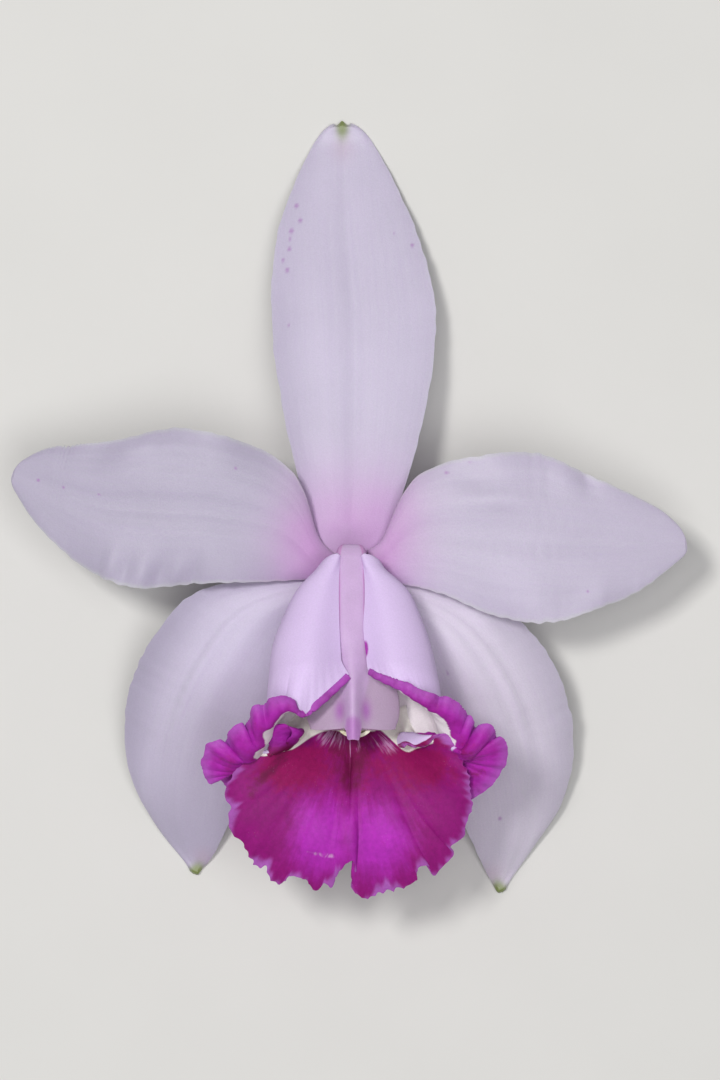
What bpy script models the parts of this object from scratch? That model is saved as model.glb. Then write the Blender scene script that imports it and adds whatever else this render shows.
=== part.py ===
"""A cattleya orchid bloom, picked with its short stalk and laid on its back.

The face of the flower looks up along +Z, the dorsal sepal points along +Y and the lip along -Y.
The tips of the three sepals touch the surface at z = 0, and the bent stalk lies between them.
"""
import math
from dataclasses import dataclass

import bpy
import numpy as np

MM = 0.001
GAP = 0.3 * MM

# The point where sepals, petals, lip and column come together, above the middle of the model's footprint.
UP = np.array((0.0, 0.0, 1.0))
HEART = np.array((0.10, -7.25, 20.0)) * MM

BLADE = 0.86 * MM
LIP_BLADE = 0.8 * MM
RIM_SHARE = 0.78
# How the blades bow: the powers of the edges' roll and of where it is deepest, the keel's half
# width as a share of the blade's, and how far the ripples of one edge run ahead of the other's.
ROLL_POWER = 2.5
ROLL_PLACE = 0.8
KEEL_SPREAD = 0.22
RIPPLE_LEAD = 1.7

COLLAR_TOP = 1.3 * MM
COLLAR_CENTRE = np.array((0.0, -2.6)) * MM
STALK_BEND = 14.4 * MM
STALK_REACH = 42.5 * MM
STALK_CLEARANCE = 2.6 * MM
STALK_RADII = (2.6, 2.6, 2.7, 2.8, 2.75, 2.5, 2.25, 2.1, 2.05, 2.05, 2.1)
RIBS = 6
RIB_DEPTH = 0.07
# The ribs start at this share of the drop, and take this length to reach their full height.
RIBS_START = 0.9
RIBS_RUN = 4.0 * MM

COLUMN_LENGTH = 29.4 * MM
COLUMN_LEAN = math.radians(20.0)
COLUMN_FOOT = np.array((0.2, 0.0, 3.7)) * MM
# From its foot to its end, in millimetres: its half width, its core's half width, its height, the
# height of its wings, and how far the wings' edges are folded down.
COLUMN_WIDE = (2.3, 2.4, 2.5, 2.5, 2.6, 3.0, 4.2, 6.2, 7.2, 7.0, 5.9)
COLUMN_CORE = (2.2, 2.2, 2.2, 2.2, 2.2, 2.1, 2.0, 1.8, 1.4, 1.2, 1.1)
COLUMN_DEEP = (2.2, 2.2, 2.2, 2.2, 2.2, 2.2, 2.1, 2.0, 1.9, 1.8, 1.7)
COLUMN_WING = (2.2, 2.2, 2.2, 2.2, 2.1, 1.8, 1.2, 0.6, 0.5, 0.5, 0.5)
COLUMN_FOLD = (0.0, 0.0, 0.0, 0.0, 0.0, 0.1, 0.5, 1.4, 2.2, 2.4, 2.2)
# The end tooth: its length, its half width, and the share of the column where it starts.
TOOTH_LENGTH = 1.9 * MM
TOOTH_HALF = 1.15 * MM
TOOTH_START = 0.93
# The hollow under the column's end: how much it takes off, and the shares where it starts and is full.
HOLLOW = 0.6
HOLLOW_START, HOLLOW_FULL = 0.75, 0.9
# How much shorter the under side is than the upper one, over the second half.
UNDERCUT = 0.6 * MM

CAP_RADII = np.array((2.6, 1.9, 1.7)) * MM
CAP_WALL = 0.55 * MM
CAP_ALONG = 28.6 * MM
CAP_ACROSS = 0.3 * MM
CAP_UNDER = 1.35 * MM

TUBE_ROWS = 7
LOBE_ROWS = 10
LOBE_COLUMNS = 24
MIDLOBE_ROWS = 10
MIDLOBE_COLUMNS = 50
ISTHMUS = 0.2
SINUS = 0.03
# How far each side lobe has turned back outwards at its margin, from the slit to the front lobe.
FLARE = np.radians((10.0, 40.0, 100.0, 140.0, 140.0, 125.0, 100.0))
FLARE_REACH = 4.5 * MM
FLARE_DEPTH = 3.0 * MM
LOBE_CENTRE = np.array((0.0, -28.0, 0.0)) * MM
# The lobes leave the tube the way its last steps run.
LAST_STEPS = 0.98
# How far each line of a lobe follows its first and its last direction, as shares of its length.
LEAVE_SHARE = 0.35
FRONT_ARRIVE = 0.3
SIDE_ARRIVE = 0.4
# Towards its two sides the front lobe leaves more steeply and arrives rising instead of falling.
SIDES_POWER = 5
FRONT_SIDES = 0.08
FRONT_STEEPER = 0.9
FRONT_FALL, FRONT_SIDES_RISE = -0.5, 0.9
# Next to the front lobe the side lobes leave downwards, under it.
NEXT_TO_FRONT = 0.08
DIP_ACROSS, DIP_ALONG, DIP_DOWN = -0.3, -0.1, -0.8
# A line that flares first runs outwards, by this share of its length at most.
DEEPEST_SHARE = 0.3


@dataclass(frozen=True)
class Blade:
    """A sepal or petal: its ends, its half widths at equal quarter-wave steps, and how it bows."""

    name: str
    finish: str
    base: tuple
    tip: tuple
    left: tuple
    right: tuple
    drop: float
    arch: float
    edge_roll: float
    keel: float
    ripple: float
    ripples: float
    rows: int = 17
    columns: int = 12


BLADES = (
    Blade("dorsal_sepal", "sepal", (0.0, 0.3, -1.7), (-1.3, 68.9, -20.8),
          (3.8, 8.3, 10.7, 11.5, 10.1, 7.7, 5.0, 2.2, 0.0),
          (-3.7, -9.9, -13.1, -14.2, -12.2, -8.6, -4.9, -1.8, 0.0),
          drop=1.35, arch=0.0, edge_roll=1.8, keel=-0.5, ripple=0.25, ripples=2.5),
    Blade("petal_left", "petal", (-2.9, -1.9, -0.1), (-52.9, 11.9, -3.4),
          (2.2, 5.6, 8.6, 11.7, 10.8, 8.0, 4.8, 1.7, 0.0),
          (-2.6, -12.5, -14.7, -14.0, -10.1, -7.6, -5.5, -2.4, 0.0),
          drop=2.2, arch=2.4, edge_roll=1.2, keel=-0.6, ripple=0.7, ripples=3.4),
    Blade("petal_right", "petal", (2.9, -1.9, -0.1), (52.7, 0.6, -3.0),
          (2.7, 13.6, 16.1, 15.7, 12.0, 8.8, 6.1, 3.0, 0.0),
          (-2.3, -4.6, -8.9, -10.5, -8.7, -6.5, -3.6, -1.3, 0.0),
          drop=2.2, arch=2.2, edge_roll=1.0, keel=-0.6, ripple=0.6, ripples=2.6),
    Blade("lateral_sepal_left", "sepal", (-1.5, -5.1, -1.7), (-24.8, -51.5, -20.8),
          (1.2, 0.9, 1.1, 1.2, 1.2, 1.2, 1.2, 0.5, 0.0),
          (-3.1, -18.6, -22.4, -22.5, -19.9, -15.3, -8.6, -2.6, 0.0),
          drop=1.6, arch=1.0, edge_roll=2.6, keel=0.9, ripple=0.3, ripples=2.0),
    Blade("lateral_sepal_right", "sepal", (1.5, -5.1, -1.7), (24.1, -54.4, -20.8),
          (3.1, 17.2, 22.0, 22.2, 19.7, 14.7, 7.2, 2.2, 0.0),
          (-1.2, -0.7, -0.8, -0.9, -0.9, -0.8, -0.8, -0.5, 0.0),
          drop=1.6, arch=1.0, edge_roll=2.6, keel=0.9, ripple=0.3, ripples=2.0),
)

# Around half of the tube, from under the column to the edge of the slit: how far out it stands,
# as a share of its half width, and how high, as a share of its depth.
TUBE_SIDE = (0.0, 0.5, 0.86, 1.0, 0.95, 0.75, 0.48, 0.0)
TUBE_RISE = (0.0, 0.04, 0.2, 0.48, 0.77, 0.96, 1.0, 0.0)
TUBE_SLIT = (0.0, 0.0, 0.0, 0.0, 0.0, 0.0, 0.0, 1.0)

# Along the tube from its foot to its mouth, in millimetres.
WIDTH_LEFT = (3.8, 5.3, 8.0, 9.9, 11.5, 12.1)
WIDTH_RIGHT = (4.3, 5.6, 8.8, 10.6, 12.1, 13.2)
SLIT_LEFT = (1.7, 1.8, 1.9, 1.9, 1.8, 1.6)
SLIT_RIGHT = (2.1, 2.4, 2.6, 2.6, 2.4, 2.9)
FLOOR_FOOT, FLOOR_MOUTH = 2.1, 1.7
CROWN_FOOT, CROWN_MOUTH = 6.4, 15.2
SLIT_FOOT, SLIT_MOUTH = 6.1, 12.2
# How far below the heart the tube starts, how far it runs, and how far its sections lean back at
# the slit: at the foot, and what the mouth adds.
TUBE_START, TUBE_RUN = 5.6, 21.4
LEAN_FOOT, LEAN_MORE = 5.3, 5.4
TUBE_OPENING = 1.5

# The pollinia's size as shares of the room in the cap, how far their middle lies into it as a
# share of its depth, and how far their four lobes swell.
LUMP_SHARES = np.array((0.76, 0.72, 0.42))
LUMP_DEPTH = 0.35
LUMP_SWELL = 0.14

# The free margin of each lobe, in millimetres from the heart of the flower.
LEFT_MARGIN = (
    (-1.0, -18.6, 14.2), (-3.0, -20.7, 15.4), (-5.4, -22.6, 16.4), (-7.6, -23.3, 17.2),
    (-10.2, -22.2, 17.8), (-12.6, -22.5, 17.2), (-14.9, -24.2, 15.8),
    (-16.3, -25.6, 14.8), (-18.0, -26.8, 14.0), (-19.6, -28.2, 12.8), (-21.2, -29.4, 12.2),
    (-22.5, -31.3, 10.8), (-22.2, -33.8, 9.0), (-20.4, -36.0, 7.0), (-18.5, -38.4, 6.0))
RIGHT_MARGIN = (
    (3.2, -17.9, 13.8), (5.5, -18.7, 15.4), (8.5, -19.6, 16.8), (10.9, -21.0, 17.6),
    (13.3, -22.1, 17.4), (16.7, -23.0, 16.4), (19.0, -24.8, 14.8), (20.2, -26.2, 13.6),
    (22.0, -27.0, 13.0), (23.4, -28.8, 11.6), (24.2, -30.9, 10.4), (23.7, -33.5, 9.0),
    (21.3, -36.6, 8.0), (19.0, -38.4, 7.0))
MIDLOBE_MARGIN = (
    (-9.4, -26.9, 9.5), (-12.4, -28.0, 10.0), (-14.7, -31.2, 10.2), (-16.8, -34.4, 10.4),
    (-18.8, -37.2, 10.0), (-18.4, -41.4, 9.3), (-16.6, -44.8, 8.6), (-15.4, -46.6, 7.6),
    (-13.4, -49.0, 6.8), (-10.6, -51.3, 6.2), (-9.2, -50.0, 6.6), (-6.6, -50.8, 6.2),
    (-4.4, -52.0, 5.8), (-2.7, -51.4, 6.0), (-1.9, -49.7, 6.8), (-0.1, -48.1, 7.6),
    (0.7, -50.2, 6.6), (1.9, -53.2, 5.4), (5.3, -52.8, 5.2), (8.7, -51.8, 5.6),
    (10.6, -49.4, 6.8), (13.0, -49.9, 6.2), (15.6, -46.9, 6.8), (16.2, -45.0, 7.4),
    (17.8, -42.6, 8.4), (18.7, -39.4, 10.0), (18.5, -36.0, 11.4), (17.8, -32.8, 12.0),
    (16.2, -30.2, 12.4), (14.2, -28.0, 12.4))

FINISHES = {
    "sepal": ((0.62, 0.53, 0.70), 0.5),
    "petal": ((0.64, 0.54, 0.73), 0.5),
    "lip": ((0.42, 0.05, 0.42), 0.45),
    "column": ((0.66, 0.42, 0.68), 0.4),
    "anther_cap": ((0.85, 0.82, 0.62), 0.45),
    "pollinia": ((0.85, 0.66, 0.18), 0.35),
    "stalk": ((0.30, 0.42, 0.12), 0.5),
}


def clear_scene():
    """Takes away whatever the file opened with."""
    for thing in list(bpy.data.objects):
        bpy.data.objects.remove(thing, do_unlink=True)


def smooth(values, at):
    """Reads a smooth curve through equally spaced values at the shares 0 to 1 given in `at`."""
    values = np.asarray(values, dtype=float)
    steps = len(values) - 1
    slope = np.gradient(values, axis=0)
    place = np.clip(np.asarray(at) * steps, 0.0, steps)
    cell = np.minimum(place.astype(int), steps - 1)
    f = place - cell
    if values.ndim > 1:
        f = f[..., None]
    return ((1 + 2 * f) * (1 - f) ** 2 * values[cell] + f * (1 - f) ** 2 * slope[cell]
            + f ** 2 * (3 - 2 * f) * values[cell + 1] + f ** 2 * (f - 1) * slope[cell + 1])


def even_margin(points, count):
    """Spreads `count` + 1 points by length along the smooth curve through hand-placed points."""
    fine = smooth(np.array(points) * MM, np.linspace(0, 1, 40 * len(points)))
    length = np.concatenate(([0.0], np.cumsum(np.linalg.norm(np.diff(fine, axis=0), axis=1))))
    wanted = np.linspace(0, length[-1], count + 1)
    return np.stack([np.interp(wanted, length, fine[:, axis]) for axis in range(3)], axis=1)


def grid_triangles(index):
    """Splits each cell of a grid of point numbers into two triangles, leaving out empty ones."""
    a, b = index[:-1, :-1].ravel(), index[:-1, 1:].ravel()
    c, d = index[1:, 1:].ravel(), index[1:, :-1].ravel()
    triangles = np.concatenate((np.stack((a, b, c), 1), np.stack((a, c, d), 1)))
    whole = ((triangles[:, 0] != triangles[:, 1]) & (triangles[:, 1] != triangles[:, 2])
             & (triangles[:, 0] != triangles[:, 2]))
    return triangles[whole]


def thicken(points, triangles, half):
    """Gives a sheet two faces, split alike, half a thickness to each side of it, and a rim."""
    corners = points[triangles]
    facing = np.cross(corners[:, 1] - corners[:, 0], corners[:, 2] - corners[:, 0])
    normal = np.zeros_like(points)
    for corner in range(3):
        np.add.at(normal, triangles[:, corner], facing)
    normal /= np.linalg.norm(normal, axis=1, keepdims=True)
    offset = normal * np.reshape(half, (-1, 1))
    count = len(points)
    edges = np.concatenate([triangles[:, pair] for pair in ((0, 1), (1, 2), (2, 0))])
    known = {(int(a), int(b)) for a, b in edges}
    rim = np.array([(a, b) for a, b in known if (b, a) not in known])
    rim = rim[np.lexsort((rim[:, 1], rim[:, 0]))]
    a, b = rim[:, 0], rim[:, 1]
    faces = np.concatenate((triangles, triangles[:, ::-1] + count,
                            np.stack((b, a, a + count), 1), np.stack((b, a + count, b + count), 1)))
    return np.concatenate((points + offset, points - offset)), faces


def add_object(name, finish, points, faces):
    """Makes one closed mesh object at its real place, with its own plain material."""
    mesh = bpy.data.meshes.new(name)
    mesh.from_pydata([tuple(p) for p in points], [], [tuple(int(i) for i in f) for f in faces])
    mesh.update()
    mesh.shade_smooth()
    mesh.set_sharp_from_angle(angle=math.radians(60))
    colour, roughness = FINISHES[finish]
    material = bpy.data.materials.new(name + "_finish")
    material.use_nodes = True
    shader = material.node_tree.nodes["Principled BSDF"]
    shader.inputs["Base Color"].default_value = (*colour, 1.0)
    shader.inputs["Roughness"].default_value = roughness
    shader.inputs["Metallic"].default_value = 0.0
    mesh.materials.append(material)
    thing = bpy.data.objects.new(name, mesh)
    bpy.context.collection.objects.link(thing)
    return thing


def make_blade(blade):
    """A sepal or petal: a bowed sheet between two edge curves, thinner towards its edges."""
    base, tip = np.array(blade.base) * MM, np.array(blade.tip) * MM
    chord = tip[:2] - base[:2]
    reach = np.linalg.norm(chord)
    along = chord / reach
    side = np.array((-along[1], along[0]))
    quarter = np.linspace(0, 1, blade.rows + 1)
    s = np.sin(0.5 * math.pi * quarter)[:, None]
    t = np.linspace(-1, 1, blade.columns + 1)[None, :]
    left = smooth(blade.left, quarter)[:, None] * MM
    right = smooth(blade.right, quarter)[:, None] * MM
    across = right + (left - right) * (t + 1) / 2
    flat = base[:2] + s[..., None] * chord + across[..., None] * side
    depth = (base[2] + (tip[2] - base[2]) * s ** blade.drop
             + blade.arch * MM * np.sin(math.pi * s)
             - blade.edge_roll * MM * np.sin(math.pi * s ** ROLL_PLACE) * np.abs(t) ** ROLL_POWER
             + blade.keel * MM * np.exp(-(t / KEEL_SPREAD) ** 2) * np.sin(math.pi * s)
             + blade.ripple * MM * np.abs(t) ** 3 * np.sin(math.pi * s)
             * np.sin(2 * math.pi * blade.ripples * s + RIPPLE_LEAD * t))
    half = np.broadcast_to(0.5 * BLADE * (1 - (1 - RIM_SHARE) * np.abs(t) ** 4), depth.shape)
    on_surface = -HEART[2] + half
    resting = depth <= on_surface
    depth = np.maximum(depth, on_surface)
    points = np.concatenate((flat, depth[..., None]), axis=2)
    index = np.arange(points.size // 3).reshape(depth.shape)
    index[-1, :] = index[-1, 0]
    used = len(index[:-1].ravel()) + 1
    points, half, resting = points.reshape(-1, 3)[:used], half.ravel()[:used], resting.ravel()[:used]
    body, faces = thicken(points, grid_triangles(index)[:, ::-1], half)
    body[:used][resting] = points[resting] + half[resting, None] * UP
    body[used:][resting] = points[resting] - half[resting, None] * UP
    body = body + HEART
    body[used:, 2][resting] = 0.0
    return add_object(blade.name, blade.finish, body, faces)


def tube_points(step, around):
    """The rolled side lobes: sections that widen along the column and lean back at the slit.

    `step` runs from the foot to the mouth, with its first steps short, because the tube opens
    bluntly there; `around` from -1 at the left edge of the slit, through 0 under the column,
    to 1 at the right edge.
    """
    step, around = np.broadcast_arrays(step, around)
    share = step ** TUBE_OPENING
    turn = np.abs(around)
    right = around > 0
    width = np.where(right, smooth(WIDTH_RIGHT, step), smooth(WIDTH_LEFT, step))
    slit = np.where(right, smooth(SLIT_RIGHT, step), smooth(SLIT_LEFT, step))
    floor = FLOOR_FOOT + (FLOOR_MOUTH - FLOOR_FOOT) * share
    crown = CROWN_FOOT + (CROWN_MOUTH - CROWN_FOOT) * share
    edge = SLIT_FOOT + (SLIT_MOUTH - SLIT_FOOT) * share
    out = width * smooth(TUBE_SIDE, turn) + slit * smooth(TUBE_SLIT, turn)
    rise = floor + (crown - floor) * smooth(TUBE_RISE, turn) + (edge - floor) * smooth(TUBE_SLIT, turn)
    down = -TUBE_START - TUBE_RUN * share + (LEAN_FOOT + LEAN_MORE * share) * np.sin(0.5 * math.pi * turn)
    return np.stack((np.sign(around) * out, down, rise), axis=-1) * MM


def across_run(margin):
    """The direction out of a lobe, square to the general run of its margin as seen from the front."""
    share = np.linspace(0, 1, len(margin))
    run = np.stack([np.polyval(np.polyder(np.polyfit(share, margin[:, axis], 4)), share)
                    for axis in range(2)], axis=1)
    run /= np.linalg.norm(run, axis=1, keepdims=True)
    return np.stack((run[:, 1], -run[:, 0], np.zeros(len(run))), axis=1)


def lobe_points(ring, leave, margin, arrive, rows):
    """A lobe: each line runs from the tube's mouth to the margin as one cubic curve."""
    q = np.linspace(0, 1, rows + 1)[:, None, None]
    near, far = ring + leave, margin - arrive
    return ((1 - q) ** 3 * ring + 3 * q * (1 - q) ** 2 * near
            + 3 * q ** 2 * (1 - q) * far + q ** 3 * margin)


def forked_triangles(near, far):
    """Joins a row of points to the next row, which has two columns for each of its own."""
    a, b = near[:-1], near[1:]
    left, middle, right = far[:-2:2], far[1:-1:2], far[2::2]
    return np.concatenate((np.stack((a, middle, left), 1), np.stack((a, b, middle), 1),
                           np.stack((b, right, middle), 1)))


def make_lip():
    """The lip: a tube open along its top, two ruffled side lobes and the broad front lobe."""
    half_side, half_middle = LOBE_COLUMNS // 2, MIDLOBE_COLUMNS // 2
    around = np.concatenate((np.linspace(-1, -ISTHMUS - SINUS, half_side + 1),
                             np.linspace(-ISTHMUS, ISTHMUS, half_middle + 1),
                             np.linspace(ISTHMUS + SINUS, 1, half_side + 1)))
    step = np.linspace(0, 1, TUBE_ROWS + 1)[:, None]
    tube = tube_points(step, around[None, :])
    index = np.arange(tube.size // 3).reshape(tube.shape[:2])
    points = [tube.reshape(-1, 3)]
    halves = [np.full(index.size, 0.5 * LIP_BLADE)]
    triangles = [grid_triangles(index)]
    lobes = (
        (-1.0, -ISTHMUS - SINUS, 0, LEFT_MARGIN, LOBE_COLUMNS, LOBE_ROWS),
        (-ISTHMUS, ISTHMUS, half_side + 1, MIDLOBE_MARGIN, MIDLOBE_COLUMNS, MIDLOBE_ROWS),
        (ISTHMUS + SINUS, 1.0, half_side + half_middle + 2, RIGHT_MARGIN[::-1], LOBE_COLUMNS, LOBE_ROWS),
    )
    for start, end, first_column, margin, columns, rows in lobes:
        turn = np.linspace(start, end, columns + 1)
        ring = tube_points(np.array(1.0), turn)
        heading = ring - tube_points(np.array(LAST_STEPS), turn)
        heading /= np.linalg.norm(heading, axis=1, keepdims=True)
        margin = even_margin(margin, columns)
        away = np.linalg.norm(margin - ring, axis=1, keepdims=True)
        if start == -end:
            side = np.abs(np.linspace(-1, 1, columns + 1))[:, None] ** SIDES_POWER
            outward = margin - LOBE_CENTRE
            outward /= np.linalg.norm(outward[:, :2], axis=1, keepdims=True)
            outward[:, 2:] = FRONT_FALL + FRONT_SIDES_RISE * side
            arrive = outward * (FRONT_ARRIVE - FRONT_SIDES * side) * away
            leave = (heading + FRONT_STEEPER * side * UP) * LEAVE_SHARE * away
        else:
            side = np.exp(-(np.abs(turn) - ISTHMUS) / NEXT_TO_FRONT)[:, None]
            flare = smooth(FLARE, (1 - np.abs(turn)) / (1 - ISTHMUS))[:, None]
            outward = across_run(margin)
            arrive = (np.minimum(FLARE_REACH, SIDE_ARRIVE * away)
                      * (np.sin(flare) * UP - np.cos(flare) * outward))
            heading += side * np.array((DIP_ACROSS * math.copysign(1, start + end), DIP_ALONG, DIP_DOWN))
            deeper = np.minimum(FLARE_DEPTH, DEEPEST_SHARE * away) * np.sin(0.5 * flare) ** 2
            leave = heading * LEAVE_SHARE * away - deeper * outward
        lobe = lobe_points(ring, leave, margin, arrive, rows)
        grid = sum(len(p) for p in points) + np.arange(rows * (columns + 1)).reshape(rows, -1)
        points.append(lobe[1:].reshape(-1, 3))
        thin = np.linspace(1.0, RIM_SHARE, rows + 1)[1:, None] * np.ones(columns + 1)
        halves.append(0.5 * LIP_BLADE * thin.ravel())
        triangles.append(grid_triangles(grid))
        triangles.append(forked_triangles(index[-1, first_column:first_column + columns // 2 + 1], grid[0]))
    points = np.concatenate(points)
    triangles = np.concatenate(triangles)
    body, faces = thicken(points, triangles[:, ::-1], np.concatenate(halves))
    return add_object("lip", "lip", body + HEART, faces)


def column_frame():
    """The column's three directions: across, along towards its tip, and up out of its back."""
    across = np.array((1.0, 0.0, 0.0))
    along = np.array((0.01, -math.cos(COLUMN_LEAN), math.sin(COLUMN_LEAN)))
    back = np.array((0.0, math.sin(COLUMN_LEAN), math.cos(COLUMN_LEAN)))
    return across, along, back


def end_strip(ring):
    """Closes a ring of point numbers, which starts at one side, by strips from its top to its bottom."""
    half = len(ring) // 2
    top, bottom = ring[:half + 1], np.concatenate((ring[:1], ring[:half - 1:-1]))
    return grid_triangles(np.stack((top, bottom)))


def tube_body(rings):
    """Joins closed rings of points into a solid with closed ends."""
    count, around = rings.shape[:2]
    index = np.arange(count * around).reshape(count, around)
    sides = grid_triangles(np.concatenate((index, index[:, :1]), axis=1))
    faces = np.concatenate((sides, end_strip(index[0])[:, ::-1], end_strip(index[-1])))
    return rings.reshape(-1, 3), faces


def make_column():
    """The column: a rounded rod that spreads into two thin wings and ends in a small tooth."""
    across, along, back = column_frame()
    share = np.linspace(0, 1, 22)[:, None]
    turn = np.linspace(0, 2 * math.pi, 29)[None, :-1]
    wide, core, deep, wing, fold = (smooth(values, share) * MM for values in
                                    (COLUMN_WIDE, COLUMN_CORE, COLUMN_DEEP, COLUMN_WING, COLUMN_FOLD))
    cosine, sine = np.cos(turn), np.sin(turn)
    x = wide * np.sign(cosine) * np.abs(cosine) ** 1.5
    under = 1 - HOLLOW * np.clip((share - HOLLOW_START) / (HOLLOW_FULL - HOLLOW_START), 0, 1) * (sine < 0)
    rise = (wing * np.sign(sine) * np.sqrt(1 - np.clip((x / wide) ** 2, 0, 1))
            + (deep - wing) * under * np.exp(-(x / core) ** 2) * np.tanh(4 * sine) - fold * (x / wide) ** 2)
    tooth = (TOOTH_LENGTH * np.exp(-(x / TOOTH_HALF) ** 4) * (sine > 0.1)
             * np.clip((share - TOOTH_START) / (1 - TOOTH_START), 0, 1))
    length = COLUMN_LENGTH * share + tooth - UNDERCUT * (share - 0.5).clip(0) * (sine < -0.1)
    rings = (HEART + COLUMN_FOOT + length[..., None] * along + x[..., None] * across
             + rise[..., None] * back)
    points, faces = tube_body(rings)
    return add_object("column", "column", points, faces)


def dome(radii, rings, around):
    """Rings of half an egg, from its open rim to a small flat at its crown, about its middle."""
    tilt = np.linspace(0, 0.47 * math.pi, rings)[:, None]
    turn = np.linspace(0, 2 * math.pi, around + 1)[None, :-1]
    return np.stack((radii[0] * np.cos(tilt) * np.cos(turn), radii[1] * np.cos(tilt) * np.sin(turn),
                     -radii[2] * np.sin(tilt) + 0 * turn), axis=-1)


def at_tip(offset):
    """Places (across, along, back) offsets under the end of the column, where the anther sits."""
    across, along, back = column_frame()
    place = HEART + COLUMN_FOOT + CAP_ALONG * along + CAP_ACROSS * across - CAP_UNDER * back
    return (place + offset[..., :1] * across + offset[..., 1:2] * along + offset[..., 2:] * back)


def make_anther_cap():
    """The anther cap: a small helmet under the end of the column, open towards it."""
    outer = dome(CAP_RADII, 6, 16)
    inner = dome(CAP_RADII - CAP_WALL, 5, 16)
    points, faces = tube_body(at_tip(np.concatenate((inner[::-1], outer))))
    return add_object("anther_cap", "anther_cap", points, faces)


def make_pollinia():
    """The pollinia: four waxy lumps pressed together inside the cap."""
    turn = np.linspace(0, 2 * math.pi, 25)[None, :-1]
    tilt = np.linspace(0.06 * math.pi, 0.94 * math.pi, 7)[:, None]
    lobes = 1 + LUMP_SWELL * np.cos(4 * turn)
    room = CAP_RADII - CAP_WALL - GAP
    wide, long, deep = room * LUMP_SHARES
    rings = -LUMP_DEPTH * room[2] * UP + np.stack((wide * np.sin(tilt) * np.cos(turn) * lobes,
                                                   long * np.sin(tilt) * np.sin(turn) * lobes,
                                                   deep * np.cos(tilt) + 0 * turn), axis=-1)
    points, faces = tube_body(at_tip(rings))
    return add_object("pollinia", "pollinia", points, faces)


def make_stalk():
    """The ovary and its stalk: six ribs round a path that drops from the heart and turns along -Y."""
    bend_top = -HEART[2] + STALK_CLEARANCE + STALK_BEND
    drop = COLLAR_TOP - bend_top
    arc = 0.5 * math.pi * STALK_BEND
    start_y = COLLAR_CENTRE[1]
    run = STALK_REACH + start_y - STALK_BEND
    total = drop + arc + run
    way = np.concatenate((np.linspace(0, drop, 5), drop + np.linspace(0, arc, 15)[1:],
                          drop + arc + np.linspace(0, run, 9)[1:]))
    bend = np.clip((way - drop) / STALK_BEND, 0, 0.5 * math.pi)
    past = np.clip(way - drop - arc, 0, None)
    y = start_y - STALK_BEND * (1 - np.cos(bend)) - past
    z = COLLAR_TOP - np.minimum(way, drop) - STALK_BEND * np.sin(bend)
    path = HEART + np.stack((np.full_like(y, COLLAR_CENTRE[0]), y, z), axis=1)
    ahead = np.stack((np.zeros_like(y), -np.sin(bend), -np.cos(bend)), axis=1)
    side = np.array((1.0, 0.0, 0.0))
    out = np.cross(ahead, side)
    radius = smooth(STALK_RADII, way / total) * MM
    turn = np.linspace(0, 2 * math.pi, 25)[None, :-1]
    ribbed = np.clip((way - drop * RIBS_START) / RIBS_RUN, 0, 1)[:, None]
    reach = radius[:, None] * (1 + RIB_DEPTH * ribbed * np.cos(RIBS * turn))
    rings = (path[:, None] + (reach * np.cos(turn))[..., None] * side
             + (reach * np.sin(turn))[..., None] * out[:, None])
    points, faces = tube_body(rings)
    return add_object("ovary_pedicel", "stalk", points, faces)


def main():
    """Builds the whole bloom."""
    clear_scene()
    for blade in BLADES:
        make_blade(blade)
    make_lip()
    make_column()
    make_anther_cap()
    make_pollinia()
    make_stalk()


main()
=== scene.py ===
"""The looks of a cattleya orchid bloom, picked with its stalk and laid on its back.

The face of the flower looks up along +Z, the dorsal sepal points along +Y and the lip along -Y.
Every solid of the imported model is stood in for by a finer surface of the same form, with the
veins, folds and colours that a fresh bloom has.
"""
import logging
import math
from collections.abc import Callable
from dataclasses import dataclass, field, replace
from enum import Enum

import bpy
import numpy as np
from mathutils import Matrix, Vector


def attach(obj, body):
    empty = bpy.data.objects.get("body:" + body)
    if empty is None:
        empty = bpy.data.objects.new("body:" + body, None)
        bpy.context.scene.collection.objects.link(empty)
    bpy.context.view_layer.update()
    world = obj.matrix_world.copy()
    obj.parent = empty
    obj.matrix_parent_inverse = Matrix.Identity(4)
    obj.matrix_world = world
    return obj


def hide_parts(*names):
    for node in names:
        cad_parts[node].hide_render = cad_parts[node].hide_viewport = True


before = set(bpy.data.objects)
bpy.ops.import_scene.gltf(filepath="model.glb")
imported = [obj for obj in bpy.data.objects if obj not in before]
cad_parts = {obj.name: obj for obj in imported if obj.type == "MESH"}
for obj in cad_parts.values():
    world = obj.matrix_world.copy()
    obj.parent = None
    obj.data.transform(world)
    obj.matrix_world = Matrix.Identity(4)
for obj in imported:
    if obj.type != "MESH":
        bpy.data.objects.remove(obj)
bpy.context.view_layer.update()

log = logging.getLogger("orchid")

Array = np.ndarray
MM = 0.001
UP = np.array((0.0, 0.0, 1.0))

# The point where sepals, petals, lip and column come together.
HEART = np.array((0.10, -7.25, 20.0)) * MM


class Slot(Enum):
    """The finishes that the bloom's pieces take from the record."""

    SEPAL = "sepal"
    PETAL = "petal"
    LIP = "lip"
    COLUMN = "column"
    ANTHER_CAP = "anther_cap"
    POLLINIA = "pollinia"
    STALK = "stalk"


# Curves and surfaces.


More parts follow.
